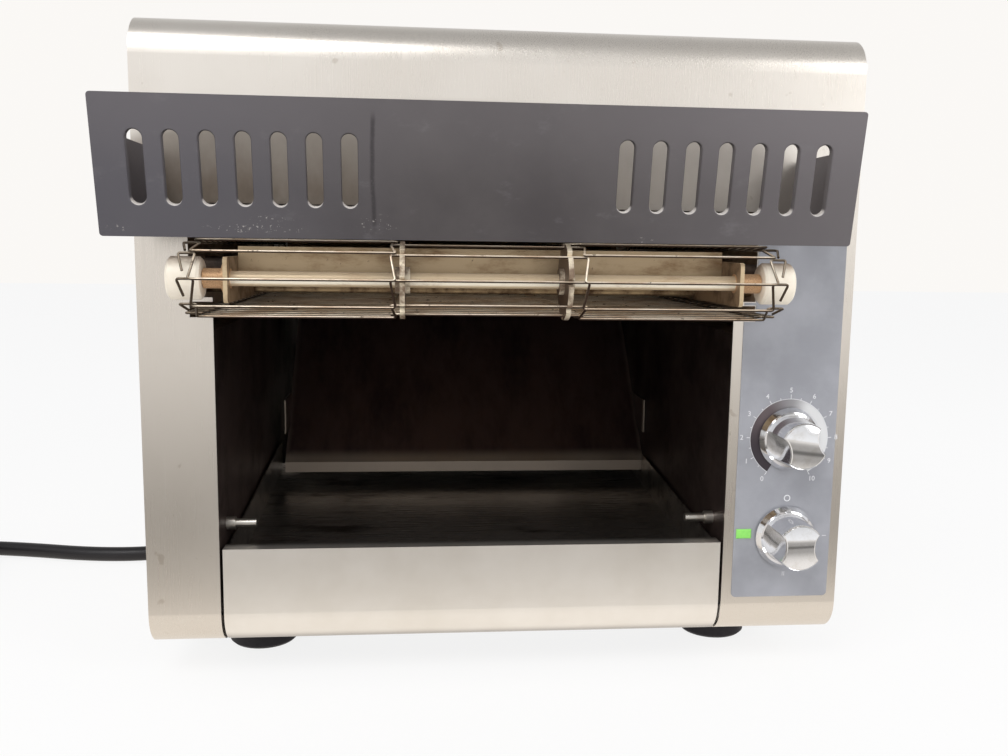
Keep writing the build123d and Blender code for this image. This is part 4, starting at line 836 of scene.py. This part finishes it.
def make_numbers():
    for number in range(11):
        data = bpy.data.curves.new(f"dial_{number}", "FONT")
        data.body = str(number)
        data.size = 0.0047
        data.offset = 0.00006
        data.align_x, data.align_y = "CENTER", "CENTER"
        data.extrude = 0.00002
        a = math.radians(dial_angle(number))
        r = DIAL_RING + 0.0060
        piece = bpy.data.objects.new(f"dial_{number}", data)
        bpy.context.scene.collection.objects.link(piece)
        piece.location = (DIAL_AT[0] + r * math.sin(a), PRINT_Y, DIAL_AT[1] + r * math.cos(a))
        piece.rotation_euler = (math.radians(90), 0, 0)
        data.materials.append(finish("print"))
        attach(piece, "casing")


# ------------------------------------------------------------------ studio
def studio_floor():
    """Pale floor with its own shading and shadow; whiter to the camera, and in metal it
    shows the darker counter that lies in front of the toaster."""
    f = Finish("studio floor")
    y = f.xyz()[1]
    path = f.node("ShaderNodeLightPath")
    ahead = FACE_Y - y
    tone = 0.96 - ahead.fade(0.08, 0.24) * 0.56 + ahead.fade(0.6, 2.4) * 0.42 - ahead.fade(
        0.30, 0.36) * ahead.fade(0.40, 0.52, 0.24, 0.0)
    counter = f.mix(tone, (0.0, 0.0, 0.0), (1.0, 0.955, 0.90))
    shaded = f.node("ShaderNodeBsdfPrincipled", None, {"Base Color": srgb(252, 251, 249), "Roughness": 0.9})
    white = f.node("ShaderNodeBsdfPrincipled", None, {
        "Base Color": (0.0, 0.0, 0.0), "Specular IOR Level": 0.0, "Emission Color": (1.0, 1.0, 1.0),
        "Emission Strength": 1.0})
    mirrored = f.node("ShaderNodeBsdfPrincipled", None, {
        "Base Color": (0.0, 0.0, 0.0), "Specular IOR Level": 0.0, "Emission Color": counter,
        "Emission Strength": 1.0})
    seen = f.node("ShaderNodeMixShader", None, {0: f.out(path, "Is Camera Ray") * 0.84})
    f.tree.links.new(shaded.outputs[0], seen.inputs[1])
    f.tree.links.new(white.outputs[0], seen.inputs[2])
    both = f.node("ShaderNodeMixShader", None, {0: f.out(path, "Is Glossy Ray")})
    f.tree.links.new(seen.outputs[0], both.inputs[1])
    f.tree.links.new(mirrored.outputs[0], both.inputs[2])
    output = f.node("ShaderNodeOutputMaterial")
    f.tree.links.new(both.outputs[0], output.inputs[0])
    return f.material


SKY = (  # height of the ray, brightness that metal mirrors
    (-1.00, 0.75), (-0.02, 1.00), (0.06, 1.20), (0.22, 1.36), (0.36, 1.90), (0.80, 1.90),
    (0.90, 0.44), (1.00, 0.38))
SKY_MOST = 2.0


def make_world():
    """Plain soft light; white to the camera; a bright band above eye level in metal."""
    world = bpy.data.worlds.new("studio world")
    bpy.context.scene.world = world
    world.use_nodes = True
    tree = world.node_tree
    tree.nodes.clear()

    def node(kind, *links):
        made = tree.nodes.new(kind)
        for socket, end in links:
            tree.links.new(socket, made.inputs[end])
        return made

    path = node("ShaderNodeLightPath")
    split = node("ShaderNodeSeparateXYZ", (node("ShaderNodeTexCoord").outputs["Generated"], 0))
    height = node("ShaderNodeMapRange", (split.outputs[2], "Value"))
    height.inputs["From Min"].default_value = -1.0
    ramp = node("ShaderNodeValToRGB", (height.outputs[0], 0))
    for i, (z, tone) in enumerate(SKY):
        stop = ramp.color_ramp.elements[i] if i < 2 else ramp.color_ramp.elements.new(0.5)
        stop.position, stop.color = (z + 1) / 2, (*[tone / SKY_MOST] * 3, 1.0)
    mirrored = node("ShaderNodeBackground", (ramp.outputs[0], "Color"))
    mirrored.inputs["Strength"].default_value = SKY_MOST
    soft = node("ShaderNodeBackground")
    soft.inputs["Color"].default_value = (0.95, 0.96, 1.0, 1.0)
    soft.inputs["Strength"].default_value = 0.60
    seen = node("ShaderNodeBackground")
    seen.inputs["Color"].default_value = (0.96, 0.94, 0.915, 1.0)
    glossy = node("ShaderNodeMixShader", (path.outputs["Is Glossy Ray"], 0),
                  (soft.outputs[0], 1), (mirrored.outputs[0], 2))
    both = node("ShaderNodeMixShader", (path.outputs["Is Camera Ray"], 0),
                (glossy.outputs[0], 1), (seen.outputs[0], 2))
    node("ShaderNodeOutputWorld", (both.outputs[0], 0))


def make_studio():
    mesh = bpy.data.meshes.new("floor")
    bm = bmesh.new()
    bm.faces.new([bm.verts.new(c) for c in ((-6, -6, 0), (6, -6, 0), (6, 6, 0), (-6, 6, 0))])
    bm.to_mesh(mesh)
    bm.free()
    mesh.materials.append(studio_floor())
    floor = bpy.data.objects.new("floor", mesh)
    bpy.context.scene.collection.objects.link(floor)
    floor.location.z = -0.0002
    make_world()
    soft_box("key light", (-0.9, -1.6, 2.0), (1.4, 1.0), 24.0)
    soft_box("fill light", (1.5, -1.4, 1.2), (1.0, 1.0), 12.0)


def soft_box(name, at, size, power):
    data = bpy.data.lights.new(name, "AREA")
    data.shape = "RECTANGLE"
    data.size, data.size_y = size
    data.energy = power
    lamp = bpy.data.objects.new(name, data)
    aim = Vector((0.0, -0.1, 0.2)) - Vector(at)
    lamp.rotation_euler = aim.to_track_quat("-Z", "Y").to_euler()
    lamp.location = at
    bpy.context.scene.collection.objects.link(lamp)


# ------------------------------------------------------------------ build
bpy.context.scene.view_settings.view_transform = "Standard"
make_camera()
lead = make_cord()
coat_nodes()
make_belt()
vent_screens()
printed("dial_scale", build_dial)
printed("dial_band", build_dial_band, "band")
printed("selector_marks", build_selector_marks)
make_numbers()
make_studio()
